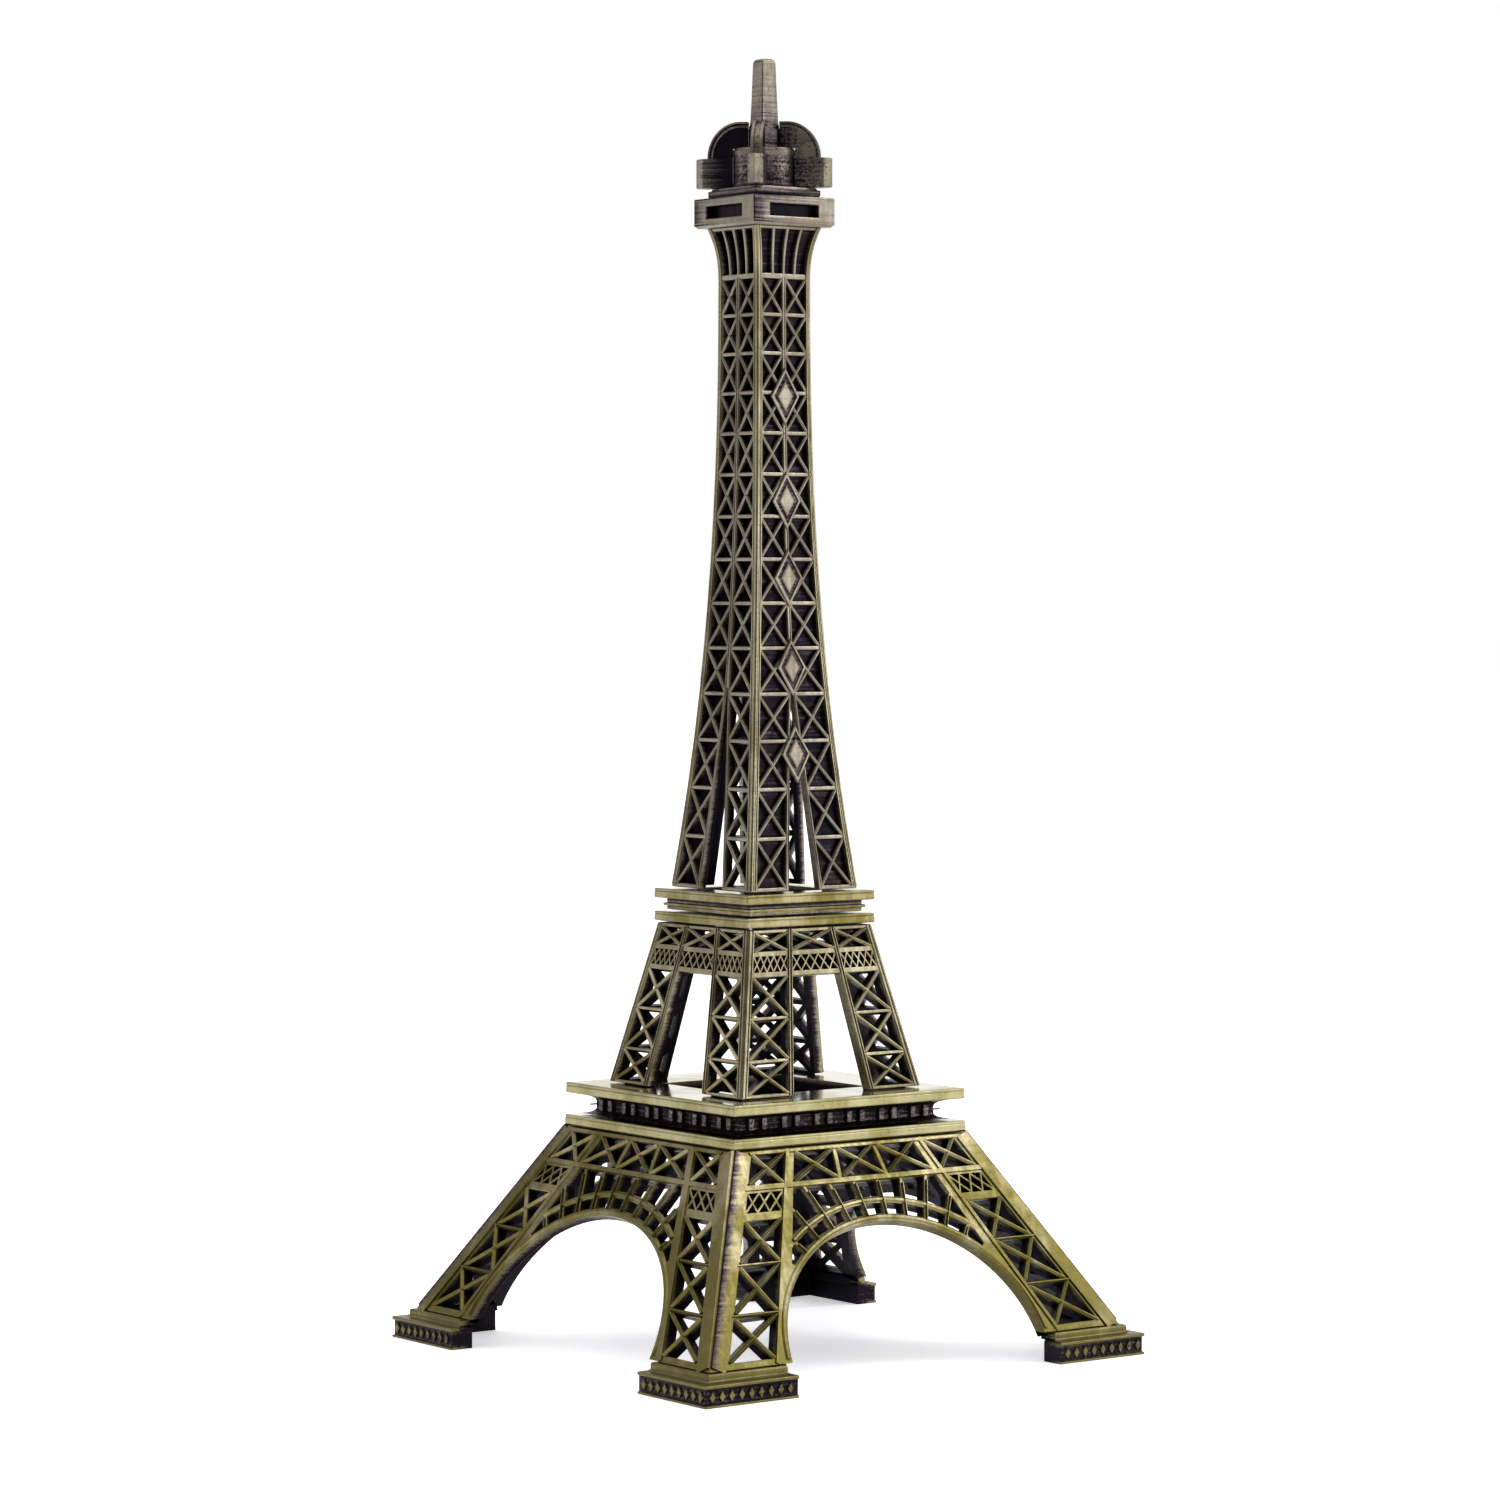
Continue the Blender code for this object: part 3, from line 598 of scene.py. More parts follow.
OLIVE = antique_bronze("olive_bronze", shade(0.250, 0.217, 0.120), shade(0.120, 0.101, 0.028))
KHAKI = antique_bronze("khaki_bronze", shade(0.275, 0.246, 0.158), shade(0.165, 0.140, 0.080))
GREY_KHAKI = antique_bronze("grey_khaki_bronze", shade(0.215, 0.193, 0.148), shade(0.145, 0.125, 0.092),
                            brushing=0.5)
PALE = antique_bronze("pale_edge_bronze", shade(0.295, 0.270, 0.150), shade(0.200, 0.175, 0.070),
                      brushing=0.5)
UMBER = antique_bronze("umber_bronze", shade(0.20, 0.175, 0.12), shade(0.10, 0.085, 0.07), gloss=0.34,
                       speckling=1.1)
DUSK = antique_bronze("dusk_bronze", shade(0.20, 0.175, 0.14), shade(0.10, 0.08, 0.09), 0.16, 0.5,
                      speckling=0.2)
FOOT_METAL = antique_bronze("foot_bronze", shade(0.21, 0.186, 0.080), shade(0.115, 0.098, 0.034),
                            0.12, 0.46, speckling=0.6)
# The metal of each crown arm, and how dark the flat of its fin is near the edge, as a depth.
ARM_LOOKS = ((UMBER, 0.2), (UMBER, 0.0), (UMBER, 0.2), (DUSK, 0.6))
SHEEN = polished_bronze("polished_tops", shade(0.70, 0.64, 0.44))


def cast(shape, replaced, metals, quarter_turns=0, bevel=0.0):
    """Make a piece and say what it rides on, what it stands for and which finish it has."""
    piece = shape.make(replaced + "_cast", quarter_turns, metals, bevel)
    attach(piece, "root")
    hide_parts(replaced)
    return piece


def four_sides(stem, make_panel, shells, metal):
    """The four alike sides of a stage; only the tone of their outer edges differs, a painted shade that is
    darker on some sides than on others.
    """
    for turn, side in enumerate(SIDES):
        shape = Shape()
        shape.add(*make_panel(EDGE_PATINA_AND_SHADE[turn]))
        shape.add_all(shells)
        cast(shape, f"{stem}_{side}", [metal], turn)


# ---- leaning faces
class Slope:
    """A leaning flat face of the front of the tower; v runs up the face from its lower edge."""

    def __init__(self, low_z, low_half, high_z, high_half):
        self.low_z = low_z
        self.low_half = low_half
        self.length = math.hypot(high_z - low_z, low_half - high_half)
        self.rise = (high_z - low_z) / self.length
        self.lean = (low_half - high_half) / self.length

    def half(self, v):
        """Half the width of the tower, v up the face."""
        return self.low_half - v * self.lean

    def place(self, u, v, depth):
        """A point so far below the face; the level ends are cut level, the others at the mitre."""
        y = -self.half(v)
        z = self.low_z + v * self.rise
        if v < 1e-4 or v > self.length - 1e-4:
            y += depth / self.rise
        else:
            y += depth * self.rise
            z -= depth * self.lean
        limit = -y - SEAM
        return (max(-limit, min(limit, u)), y, z)


# ---- base stage
BASE = Slope(BASE_LOW.z, -BASE_LOW.y, BASE_HIGH.z, BASE_HEAD_HALF)
CORNER_POST = 3.1
INNER_POST = (24.7, 11.7)            # its outer edge, at the foot and at the head
INNER_POST_ARCH_EDGE = (22.0, 10.0)
ARCH_CENTRE = -0.8
ARCH_SPAN = 21.6
ARCH_RISE = 19.35
RIM = 1.15
UPPER_ARC = (2.65, 3.7)
LEG_BARS = ((7.0, 7.6), (14.0, 14.45), (20.3, 21.25), (24.5, 25.45))
TOP_CHORD = 29.75
BRACE = 0.72
SPOKE_PITCH = math.radians(8.4)


def inner_post(v):
    """Sideways place of the outer edge of the post on the inner side of a base leg."""
    return between(*INNER_POST, v / BASE.length)


def inner_post_arch_edge(v):
    """Sideways place of the edge of the same post that faces the arch."""
    return between(*INNER_POST_ARCH_EDGE, v / BASE.length)


def arch_point(angle, out):
    """A point on the arch, or on a curve a fixed distance outside it."""
    return ((ARCH_SPAN + out) * math.sin(angle), ARCH_CENTRE + (ARCH_RISE + out) * math.cos(angle))


def leg_opening(low, high):
    """The clear space in the left leg between its two posts and two levels."""
    return [(-(BASE.half(low) - CORNER_POST), low), (-inner_post(low), low),
            (-inner_post(high), high), (-(BASE.half(high) - CORNER_POST), high)]


def leg_openings():
    levels = (1.0,) + tuple(edge for bar in LEG_BARS[:3] for edge in bar)
    openings = [leg_opening(low, high) for low, high in zip(levels[0::2], levels[1::2])]
    return openings + [leg_opening(LEG_BARS[3][1], TOP_CHORD)]


def truss_openings():
    """Three cells between the legs, under the cornice, parted by two uprights."""
    low = LEG_BARS[3][1]
    half_upright = 0.4
    openings = []
    for cell in range(3):
        corners = []
        for v, ends in ((low, (0, 1)), (TOP_CHORD, (1, 0))):
            for end in ends:
                at_post = cell + end in (0, 3)
                gap = 0.0 if at_post else half_upright * (1 - 2 * end)
                reach = inner_post_arch_edge(v)
                corners.append((between(-reach, reach, (cell + end) / 3.0) + gap, v))
        openings.append(corners)
    return openings


def inside_fan(polygon):
    """The part of a polygon under the long bar and between the inner posts."""
    low = (inner_post_arch_edge(0.0), 0.0)
    high = (inner_post_arch_edge(BASE.length), BASE.length)
    inward = (high[1] - low[1], low[0] - high[0])
    polygon = clipped(polygon, (0.0, LEG_BARS[3][0]), (0.0, -1.0))
    polygon = clipped(polygon, low, (-inward[0], -inward[1]))
    return clipped(polygon, (-low[0], low[1]), (inward[0], -inward[1]))


def fan_holes():
    """Cells between the arch rim, the arc above it and the long bar, parted by spokes."""
    spoke = 0.3
    holes = []
    for near, far in ((RIM, UPPER_ARC[0]), (UPPER_ARC[1], 14.0)):
        near_part = spoke / (ARCH_RISE + near)
        far_part = spoke / (ARCH_RISE + far)
        for cell in range(-7, 7):
            start = (cell + 0.5) * SPOKE_PITCH
            end = start + SPOKE_PITCH
            middle = 0.5 * (start + end)
            polygon = [arch_point(end - near_part, near), arch_point(end - far_part, far),
                       arch_point(start + far_part, far), arch_point(start + near_part, near)]
            if far < 10.0:
                polygon.insert(2, arch_point(middle, far))
            polygon.append(arch_point(middle, near))
            polygon = without_short_sides(inside_fan(polygon), 0.35)
            if len(polygon) > 2 and abs(polygon_area(polygon)) > 0.8:
                holes.append(polygon)
    return holes


def base_outline():
    """One side of the base stage: two spread legs joined above an arch."""
    steps = 56
    limit = math.acos(-ARCH_CENTRE / ARCH_RISE)
    arch = [arch_point(between(-limit, limit, step / steps), 0.0) for step in range(steps + 1)]
    foot = BASE.half(0.0)
    head = BASE.half(BASE.length)
    return [(-foot, 0.0)] + arch + [(foot, 0.0), (head, BASE.length), (-head, BASE.length)]


def base_ridges():
    """Raised bands on the posts, the bars and the arcs, and roof-shaped ones on braces and spokes."""
    top = BASE.length - 0.15
    long_bar = 0.5 * sum(LEG_BARS[3])
    ridges = []
    for side, tarnish in ((-1.0, 0.85), (1.0, 0.35)):
        for edge, inset, look in ((BASE.half, 1.32, (2.3, 0.26, 0.1, tarnish)),
                                  (inner_post, 0.42, (0.7, 0.22))):
            ridges.append(ridge(path_along(edge, side, inset, (0.15, top)), BASE.place, *look))
    bars = [(0.5 * sum(bar), 1.0) for bar in LEG_BARS[:2]]
    for v, side in bars + [(v, -side) for v, side in bars]:
        ridges.append(ridge([(side * (inner_post(v) - 0.1), v), (side * (BASE.half(v) - 2.6), v)],
                            BASE.place, 0.56, 0.24, 0.2))
    for level, below, width in ((long_bar, 0.0, 0.86), (top, 0.25, 0.6)):
        ridges.append(ridge([(side * (BASE.half(level) - 2.5), level - below) for side in (-1.0, 1.0)],
                            BASE.place, width, 0.2))
    for out, width, reach in ((0.62, 0.95, 1.5), (0.5 * sum(UPPER_ARC), 0.9, 0.66)):
        arc = [arch_point(between(-reach, reach, step / 48.0), out) for step in range(49)]
        ridges.append(ridge(arc, BASE.place, width, 0.24, 0.3))
    ridges += brace_ridges(with_mirrored(leg_openings()) + truss_openings(), BASE.place,
                           (0.64, 0.3, 0.3), (0.64, 0.26, 0.24))
    return ridges + spoke_ridges()


def spoke_ridges():
    """A fine rib on each spoke, from the arch rim over the upper arc towards the long bar."""
    ridges = []
    for turn in range(-6, 8):
        angle = (turn - 0.5) * SPOKE_PITCH
        root = arch_point(angle, RIM * 0.7)
        for reach in (12.0, 10.0, 8.5, 7.0, 5.8, 4.6, 3.6, 2.4):
            tip = arch_point(angle, reach)
            if tip[1] < LEG_BARS[3][0] + 0.4 and abs(tip[0]) < inner_post_arch_edge(tip[1]) + 0.3:
                ridges.append(ridge([root, tip], BASE.place, 0.34, 0.4, 0.12))
                break
    return ridges


def build_base_sides():
    open_holes = []
    for opening in with_mirrored(leg_openings()) + truss_openings():
        open_holes += cross_braced(opening, BRACE)
    panels = with_mirrored([leg_opening(LEG_BARS[2][1] + 0.25, LEG_BARS[3][0] - 0.25)])
    sunk_holes = [hole for opening in panels for hole in lozenge_row(opening, 3, 0.3)]

    def base_panel(edge_patina_and_shade):
        return panel(base_outline(), open_holes + fan_holes(), sunk_holes, BASE.place,
                     BASE_WALL, LOZENGE_FLOOR, 0.4, edge_patina_and_shade)

    four_sides("base_side", base_panel, base_ridges(), OLIVE)


# ---- feet
def corner_plan(outer, end, inner):
    """An L in plan, round the front left corner; the arms run inwards from the corner."""
    return [(-outer, -outer), (-end, -outer), (-end, -inner),
            (-inner, -inner), (-inner, -end), (-outer, -end)]


def band_relief():
    """A plain row of raised lozenges along one arm of a foot, as (distance out, height)."""
    first, pitch, half_width = 23.85, 1.59, 0.6
    low, high = 0.5, 2.34
    level = 0.5 * (low + high)
    outlines = []
    for index in range(9):
        middle = first + index * pitch
        outlines.append([(middle, low), (middle + half_width, level), (middle, high),
                         (middle - half_width, level)])
    return outlines


def build_feet():
    """An L-shaped pedestal with a relief band, and its plinth step."""
    outer, end, inner = -FOOT_LOW.x, 22.5, 34.2
    plinth, plinth_end, plinth_inner = outer - 1.8, 23.0, 33.0
    rings = [(outer - 0.1, 0.0, end, inner, 0.1), (outer, 0.12, end, inner, 0.0),
             (outer - 0.02, 0.28, end, inner, 0.08), (outer - 0.28, 0.42, end, inner, 0.45),
             (outer - 0.28, 2.42, end, inner, 0.45), (outer - 0.04, 2.55, end, inner, 0.05),
             (outer, 2.9, end, inner, 0.0), (outer - 0.12, FOOT_TOP, end + 0.1, inner + 0.1, 0.0),
             (plinth + 0.25, FOOT_TOP + 0.02, plinth_end - 0.2, plinth_inner, 0.03),
             (plinth, FOOT_TOP + 0.2, plinth_end, plinth_inner, 0.1),
             (plinth, BASE_LOW.z - 0.35, plinth_end, plinth_inner, 0.0),
             (plinth - 0.15, BASE_LOW.z - 0.1, plinth_end + 0.1, plinth_inner + 0.1, 0.0)]
    points, faces, _ = loft([flat_ring(corner_plan(half, arm_end, inside), z)
                             for half, z, arm_end, inside, _ in rings])
    # The back of the L is never brushed.
    depths = [depth for *_, own in rings for depth in (own, own, 0.6, 1.0, 0.6, own)]
    shape = Shape()
    shape.add(points, faces, depths)
    for outline in band_relief():
        front = [(-u, -outer + 0.4, v) for u, v in outline]
        face = [(-u, -outer + 0.04, v) for u, v in grown(outline, -0.12)]
        for swap in (False, True):
            pair = [[(y, x, z) if swap else (x, y, z) for x, y, z in ring] for ring in (front, face)]
            shape.add(*loft(pair)[:2], [0.45] * 4 + [0.12] * 4)
    for turn, corner in enumerate(CORNERS):
        cast(shape, f"foot_{corner}", [FOOT_METAL], turn, 0.06)


# ---- first platform
CORNICE_WELL = 15.4      # half the width of the well in each slab
DECK_WELL = 10.3
SECOND_WELL = 7.2


def slab_profile(half, low, high, well, lip=0.12):
    """A slab edge: a flat band with soft corners and a fine fillet near the top."""
    tall = high - low
    return [(half - 0.3, low, 0.5), (half - 0.06, low + 0.08, 0.1), (half, low + 0.22, 0.0),
            (half - 0.02, high - 0.34 * tall, 0.0), (half - lip, high - 0.3 * tall, 0.12),
            (half - 0.03, high - 0.25 * tall, 0.0), (half, high - 0.16, 0.0),
            (half - 0.1, high - 0.03, 0.0), (half - 0.3, high, 0.0),
            (well, high, 0.1), (well, low, 1.2)]


def build_first_platform():
    cornice = Shape()
    low, high = CORNICE_LOW.z, CORNICE_HIGH.z
    half, skirt = CORNICE_HIGH.x, 0.12
    square_frame(cornice, [(half - 0.35, low - skirt, 0.3), (half - 0.12, low + 0.02, 0.15),
                           (half, low + 0.2, 0.0), (half, high - 0.5, 0.0), (half - 0.1, high - 0.42, 0.12),
                           (half - 0.02, high - 0.34, 0.0), (half - 0.05, high - 0.06, 0.0),
                           (half - 0.2, high, 0.0), (CORNICE_WELL, high, 0.1),
                           (CORNICE_WELL, low - skirt, 1.2)])
    cast(cornice, "first_cornice", [PALE, SHEEN], bevel=0.05)
    build_frieze()
    deck = Shape()
    square_frame(deck, slab_profile(DECK_HIGH.x, DECK_LOW.z, DECK_HIGH.z, DECK_WELL))
    cast(deck, "first_deck", [PALE, SHEEN], bevel=0.05)


def build_frieze():
    """The dark coved recess with paired dentils and a fine string line between the pairs."""
    low, high = CORNICE_HIGH.z + 0.2, DECK_LOW.z - 0.1
    back = 16.9
    shape = Shape()
    profile = [(15.2, low - 1.0, 1.0), (15.2, low, 1.0), (18.6, low, 0.3)]
    profile += [(back + 1.7 * (1.0 - math.sin(angle)), low + 0.8 * (1.0 - math.cos(angle)), 0.5)
                for angle in (0.5, 0.9, 1.3)]
    profile += [(back, low + 0.85, 0.75), (back, high - 1.0, 0.75)]
    profile += [(back + 1.7 * (1.0 - math.cos(angle)), high - 1.0 + 0.9 * math.sin(angle), 0.6)
                for angle in (0.4, 0.8, 1.2)]
    profile += [(18.5, high, 0.3), (14.0, high, 1.0), (14.0, low - 1.0, 1.0)]
    square_frame(shape, profile)
    shape.finishes = [RAISED] * len(shape.finishes)
    pitch = 5.6
    dentil_low, dentil_high = low + 0.5, high - 0.6
    middle = 0.5 * (dentil_low + dentil_high)
    for turn in range(4):
        parts = []
        for pair in range(6):
            centre = (pair - 2.5) * pitch
            for along in (centre - 1.1, centre + 1.1):
                parts.append(box((along - 0.44, -back - 0.52, dentil_low),
                                 (along + 0.44, -back + 0.2, dentil_high), 0.42))
            parts.append(box((centre + 1.6, -back - 0.12, middle - 0.1),
                             (centre + pitch - 1.6, -back + 0.2, middle + 0.1), 0.45))
        for part in parts:
            shape.add_turned(part, turn)
    cast(shape, "first_frieze", [UMBER], bevel=0.08)


# ---- middle stage
MID = Slope(MID_LOW.z, -MID_LOW.y, MID_HIGH.z, MID_HEAD_HALF)
MID_POST = 1.15
MID_INNER_POST = 0.85
MID_BARS = ((4.75, 5.2), (10.6, 11.05), (16.45, 17.15), (19.35, 20.05))
MID_CHORD = 22.55
MID_BRACE = 0.58


def mid_inner(v):
    """Inner edge of a middle-stage leg."""
    return between(6.6, 3.2, v / MID.length)


def mid_leg_opening(low, high):
    return [(-(MID.half(low) - MID_POST), low), (-(mid_inner(low) + MID_INNER_POST), low),
            (-(mid_inner(high) + MID_INNER_POST), high), (-(MID.half(high) - MID_POST), high)]


def mid_centre_opening(low, high):
    return [(-mid_inner(low), low), (mid_inner(low), low), (mid_inner(high), high), (-mid_inner(high), high)]


def mid_outline():
    """One side of the middle stage: two legs under a deep band."""
    foot = MID.half(0.0)
    head = MID.half(MID.length)
    band = MID_BARS[2][0]
    return [(-foot, 0.0), (-mid_inner(0.0), 0.0), (-mid_inner(band), band),
            (mid_inner(band), band), (mid_inner(0.0), 0.0), (foot, 0.0),
            (head, MID.length), (-head, MID.length)]


def build_mid_sides():
    levels = (0.45, MID_BARS[0][0], MID_BARS[0][1], MID_BARS[1][0], MID_BARS[1][1], MID_BARS[2][0])
    cells = with_mirrored([mid_leg_opening(low, high) for low, high in zip(levels[0::2], levels[1::2])])
    low = MID_BARS[3][1]
    cells += with_mirrored([mid_leg_opening(low, MID_CHORD)]) + [mid_centre_opening(low, MID_CHORD)]
    open_holes = [hole for cell in cells for hole in cross_braced(cell, MID_BRACE)]
    band_low, band_high = MID_BARS[2][1], MID_BARS[3][0]
    sunk_holes = lozenge_row(mid_centre_opening(band_low, band_high), 5, 0.24)
    for opening in with_mirrored([mid_leg_opening(band_low, band_high)]):
        sunk_holes += lozenge_row(opening, 5, 0.24)

    def mid_panel(edge_patina_and_shade):
        return panel(mid_outline(), open_holes, sunk_holes, MID.place, MID_WALL, LOZENGE_FLOOR, 0.3,
                     edge_patina_and_shade)

    four_sides("mid_side", mid_panel, mid_ridges(cells), KHAKI)


def mid_ridges(cells):
    """Roofs on the braces and fine upright ridges on the posts."""
    ridges = brace_ridges(cells, MID.place, (0.5, 0.2, 0.22), (0.5, 0.17, 0.18))
    ends = ((0.1, 0.1), (MID.length, MID.length - 0.1))
    for side in (-1.0, 1.0):
        tarnish = 0.5 if side < 0.0 else 0.0
        for edge, inset, look in ((mid_inner, -0.16, (0.22, 0.2, 0.06, tarnish)),
                                  (mid_inner, -0.62, (0.24, 0.2, 0.06, tarnish)),
                                  (MID.half, 0.3, (0.3, 0.16, 0.08)), (MID.half, 0.85, (0.3, 0.16, 0.08))):
            path = [(side * (edge(level) - inset), v) for level, v in ends]
            ridges.append(ridge(path, MID.place, *look))
    return ridges


# ---- second platform
def build_second_platform():
    for name, low, high in (("second_lower_slab", LOWER_SLAB_LOW, LOWER_SLAB_HIGH),
                            ("second_upper_slab", UPPER_SLAB_LOW, UPPER_SLAB_HIGH)):
        slab = Shape()
        square_frame(slab, slab_profile(high.x, low.z, high.z, SECOND_WELL))
        cast(slab, name, [OLIVE, SHEEN], bevel=0.05)
    low, high = LOWER_SLAB_HIGH.z + 0.2, UPPER_SLAB_LOW.z - 0.1
    crest = 0.5 * (low + high)
    hollow, proud = 9.75, 10.1
    band = Shape()
    square_frame(band, [(SECOND_WELL, low, 1.0), (hollow, low, 0.4), (hollow, crest - 0.25, 0.3),
                        (proud, crest - 0.18, 0.0), (proud + 0.05, crest, 0.0), (proud, crest + 0.18, 0.0),
                        (hollow, crest + 0.25, 0.35), (hollow, high, 0.8), (SECOND_WELL, high, 1.0)])
    cast(band, "second_band", [OLIVE], bevel=0.04)


# ---- shaft
ROW_COUNT = 14
ROW_GROWTH = 1.022
SILL = SHAFT_LOW.z + 0.3
SHAFT_TOP = SHAFT_HIGH.z
ROW_BAR = 0.55
SHAFT_BRACE = 0.5
SLIT_HALF = 2.6
SLIT_TOP = 94.0


def shaft_half(z):
    """Half the width of the shaft: a long taper, then a flare up to the gallery."""
    if z > SHAFT_ROWS_TOP:
        lift = (z - SHAFT_ROWS_TOP) / (SHAFT_TOP - SHAFT_ROWS_TOP)
        return SHAFT_HEAD_HALF + (FLARE_HALF - SHAFT_HEAD_HALF) * lift ** 2.2
    drop = (SHAFT_ROWS_TOP - z) / (SHAFT_ROWS_TOP - SHAFT_LOW.z)
    return SHAFT_HEAD_HALF + (-SHAFT_LOW.y - SHAFT_HEAD_HALF) * drop ** 2.33


def shaft_rows():
    """Heights of the bars, from the bottom one up; each row is a little lower than the last."""
    total = SHAFT_ROWS_TOP - SILL
    top_row = total * (ROW_GROWTH - 1.0) / (ROW_GROWTH ** ROW_COUNT - 1.0)
    heights = [SHAFT_ROWS_TOP]
    for row in range(ROW_COUNT):
        heights.append(heights[-1] - top_row * ROW_GROWTH ** row)
    return list(reversed(heights))


def slit_half(z):
    """Half the width of the opening that splits the foot of the shaft."""
    return SLIT_HALF * max(0.0, SLIT_TOP - z) / (SLIT_TOP - SHAFT_LOW.z)


def centre_post_edge(z):
    split = slit_half(z)
    return split + 0.35 + 0.3 * split / SLIT_HALF


def corner_post_edge(z):
    return shaft_half(z) - between(1.0, 0.75, (z - SILL) / (SHAFT_TOP - SILL))


def shaft_place(u, v, depth):
    y = -shaft_half(v) + depth
    limit = -y - SEAM
    return (max(-limit, min(limit, u)), y, v)


def flare_levels():
    return [between(SHAFT_ROWS_TOP, SHAFT_TOP, step / 6.0) for step in range(1, 7)]


def shaft_outline():
    low = SHAFT_LOW.z
    right = [(shaft_half(z), z) for z in [low] + shaft_rows() + flare_levels()]
    left = [(-u, z) for u, z in reversed(right)]
    slit = slit_half(low)
    tip = SLIT_TOP - 1.5
    return [(-slit, low), (-slit_half(tip), tip), (slit_half(tip), tip), (slit, low)] + right + left


def shaft_cells():
    """The openings of the right-hand column, from the bottom up."""
    rows = shaft_rows()
    cells = []
    for low, high in zip(rows[:-1], rows[1:]):
        bottom = low + ROW_BAR / 2.0
        top = high - ROW_BAR / 2.0
        cells.append([(centre_post_edge(bottom), bottom), (corner_post_edge(bottom), bottom),
                      (corner_post_edge(top), top), (centre_post_edge(top), top)])
    return cells


def flare_holes():
    """The gaps on one side of the middle rib."""
    half_rib = 0.24
    levels = [SHAFT_ROWS_TOP + 0.5] + flare_levels()[:-1] + [SHAFT_TOP - 0.45]
    holes = []
    for start, end in ((0.0, 0.5), (0.5, 1.0)):
        near = [(start * corner_post_edge(z) + half_rib, z) for z in levels]
        last = 0.0 if end == 1.0 else half_rib
        far = [(end * corner_post_edge(z) - last, z) for z in levels]
        holes.append(far + list(reversed(near)))
    return holes


def strip_middle(z):
    """The middle of a corner strip."""
    return 0.5 * (shaft_half(z) + corner_post_edge(z))


def shaft_ribs():
    """The ridges and beads of the corner strips, and the fine ridges of the lattice."""
    strip, lattice = [], []
    levels = shaft_rows() + flare_levels()[:-1] + [SHAFT_TOP - 0.05]
    for row in zip(levels[:-1], levels[1:]):
        for side in (-1.0, 1.0):
            strip.append(ridge(path_along(shaft_half, side, 0.2, row), shaft_place, 0.26, 0.14, 0.05))
            strip.append(ridge(path_along(corner_post_edge, side, -0.14, row), shaft_place, 0.24, 0.14, 0.05))
            strip += beaded_rib(*path_along(strip_middle, side, 0.0, row), shaft_place, 0.24, 0.12, 0.75)
            if row[1] <= SHAFT_ROWS_TOP + 0.1:
                lattice.append(ridge(path_along(centre_post_edge, side, 0.14, row), shaft_place,
                                     0.2, 0.1, 0.05))
    thin = (0.22, 0.08, 0.07)
    return strip, lattice + brace_ridges(with_mirrored(shaft_cells()), shaft_place, thin, thin)


def shaft_medallions():
    """Five plain raised lozenges down the middle of a blind side."""
    tall, wide = 4.0, 2.45
    steps = ((0.0, 0.1, 0.3), (0.0, -0.24, 0.1), (-0.14, -0.36, 0.05), (-0.36, -0.36, 0.05),
             (-0.46, -0.12, 0.55), (-0.9, -0.12, 0.6), (-1.0, -0.3, 0.1), (-1.2, -0.34, 0.05))
    shells = []
    for centre in (133.0, 118.5, 107.8, 95.4, 83.4):
        outline = [(0.0, centre - tall), (wide, centre), (0.0, centre + tall), (-wide, centre)]
        rings = [[shaft_place(u, v, depth) for u, v in grown(outline, grow)] for grow, depth, _ in steps]
        points, faces, _ = loft(rings)
        shells.append((points, faces, [tarnish for _, _, tarnish in steps for _ in outline]))
    return shells


def build_shaft_sides():
    """The front and back are cast on a thin web; the left and right are open lattice."""
    holes = with_mirrored([hole for cell in shaft_cells() for hole in cross_braced(cell, SHAFT_BRACE)]
                          + flare_holes())
    for turn, side in enumerate(SIDES):
        open_holes, sunk_holes = (holes, []) if turn % 2 else ([], holes)
        shape = Shape()
        # The outer edges take the painted shade of their side.
        shape.add(*panel(shaft_outline(), open_holes, sunk_holes, shaft_place, SHAFT_WALL, SHAFT_FLOOR,
                         1.0, EDGE_PATINA_AND_SHADE[turn]))
        strip, lattice = shaft_ribs()
        shape.add_all(strip, TOPS)
        shape.add_all(lattice)
        if turn % 2 == 0:
            shape.add_all(shaft_medallions())
        cast(shape, f"shaft_side_{side}", [GREY_KHAKI, KHAKI], turn)


# ---- gallery and crown
def build_gallery():
    """A square box with one long blind slot in each side."""
    half = GALLERY_HIGH.x
    low, high = SHAFT_TOP, GALLERY_HIGH.z
    slot_half, slot_low, slot_high = 4.17, low + 1.25, low + 2.95

    def place(u, v, depth):
        limit = half - depth - 0.02
        return (max(-limit, min(limit, u)), -half + depth, v)

    outline = [(-half, low + 0.3), (half, low + 0.3), (half, high), (-half, high)]
    slot = [(-slot_half, slot_low), (slot_half, slot_low), (slot_half, slot_high), (-slot_half, slot_high)]
    points, faces, depths = panel(outline, [], [slot], place, 1.7, 1.3)
    depths = [depth + 0.1 + max(0.0, 0.14 * (-point[0] - 3.0)) for point, depth in zip(points, depths)]
    shape = Shape()
    for turn in range(4):
        shape.add_turned((points, faces, depths), turn)
        for v in (low + 0.62, high - 0.3):
            shape.add_turned(ridge([(-half + 0.1, v), (half - 0.1, v)], place, 0.24, 0.06), turn)
    shape.add(*loft([square_ring(6.6, low), square_ring(half - 0.1, low + 0.32),
                     square_ring(half - 0.3, low + 0.5)], 0.05))
    points, faces, depths = loft([square_ring(half - 0.5, high - 0.4), square_ring(half - 0.12, high - 0.02)])
    shape.add(points, faces, depths)
    shape.finishes[-1] = TOPS
    cast(shape, "gallery_box", [GREY_KHAKI, SHEEN])


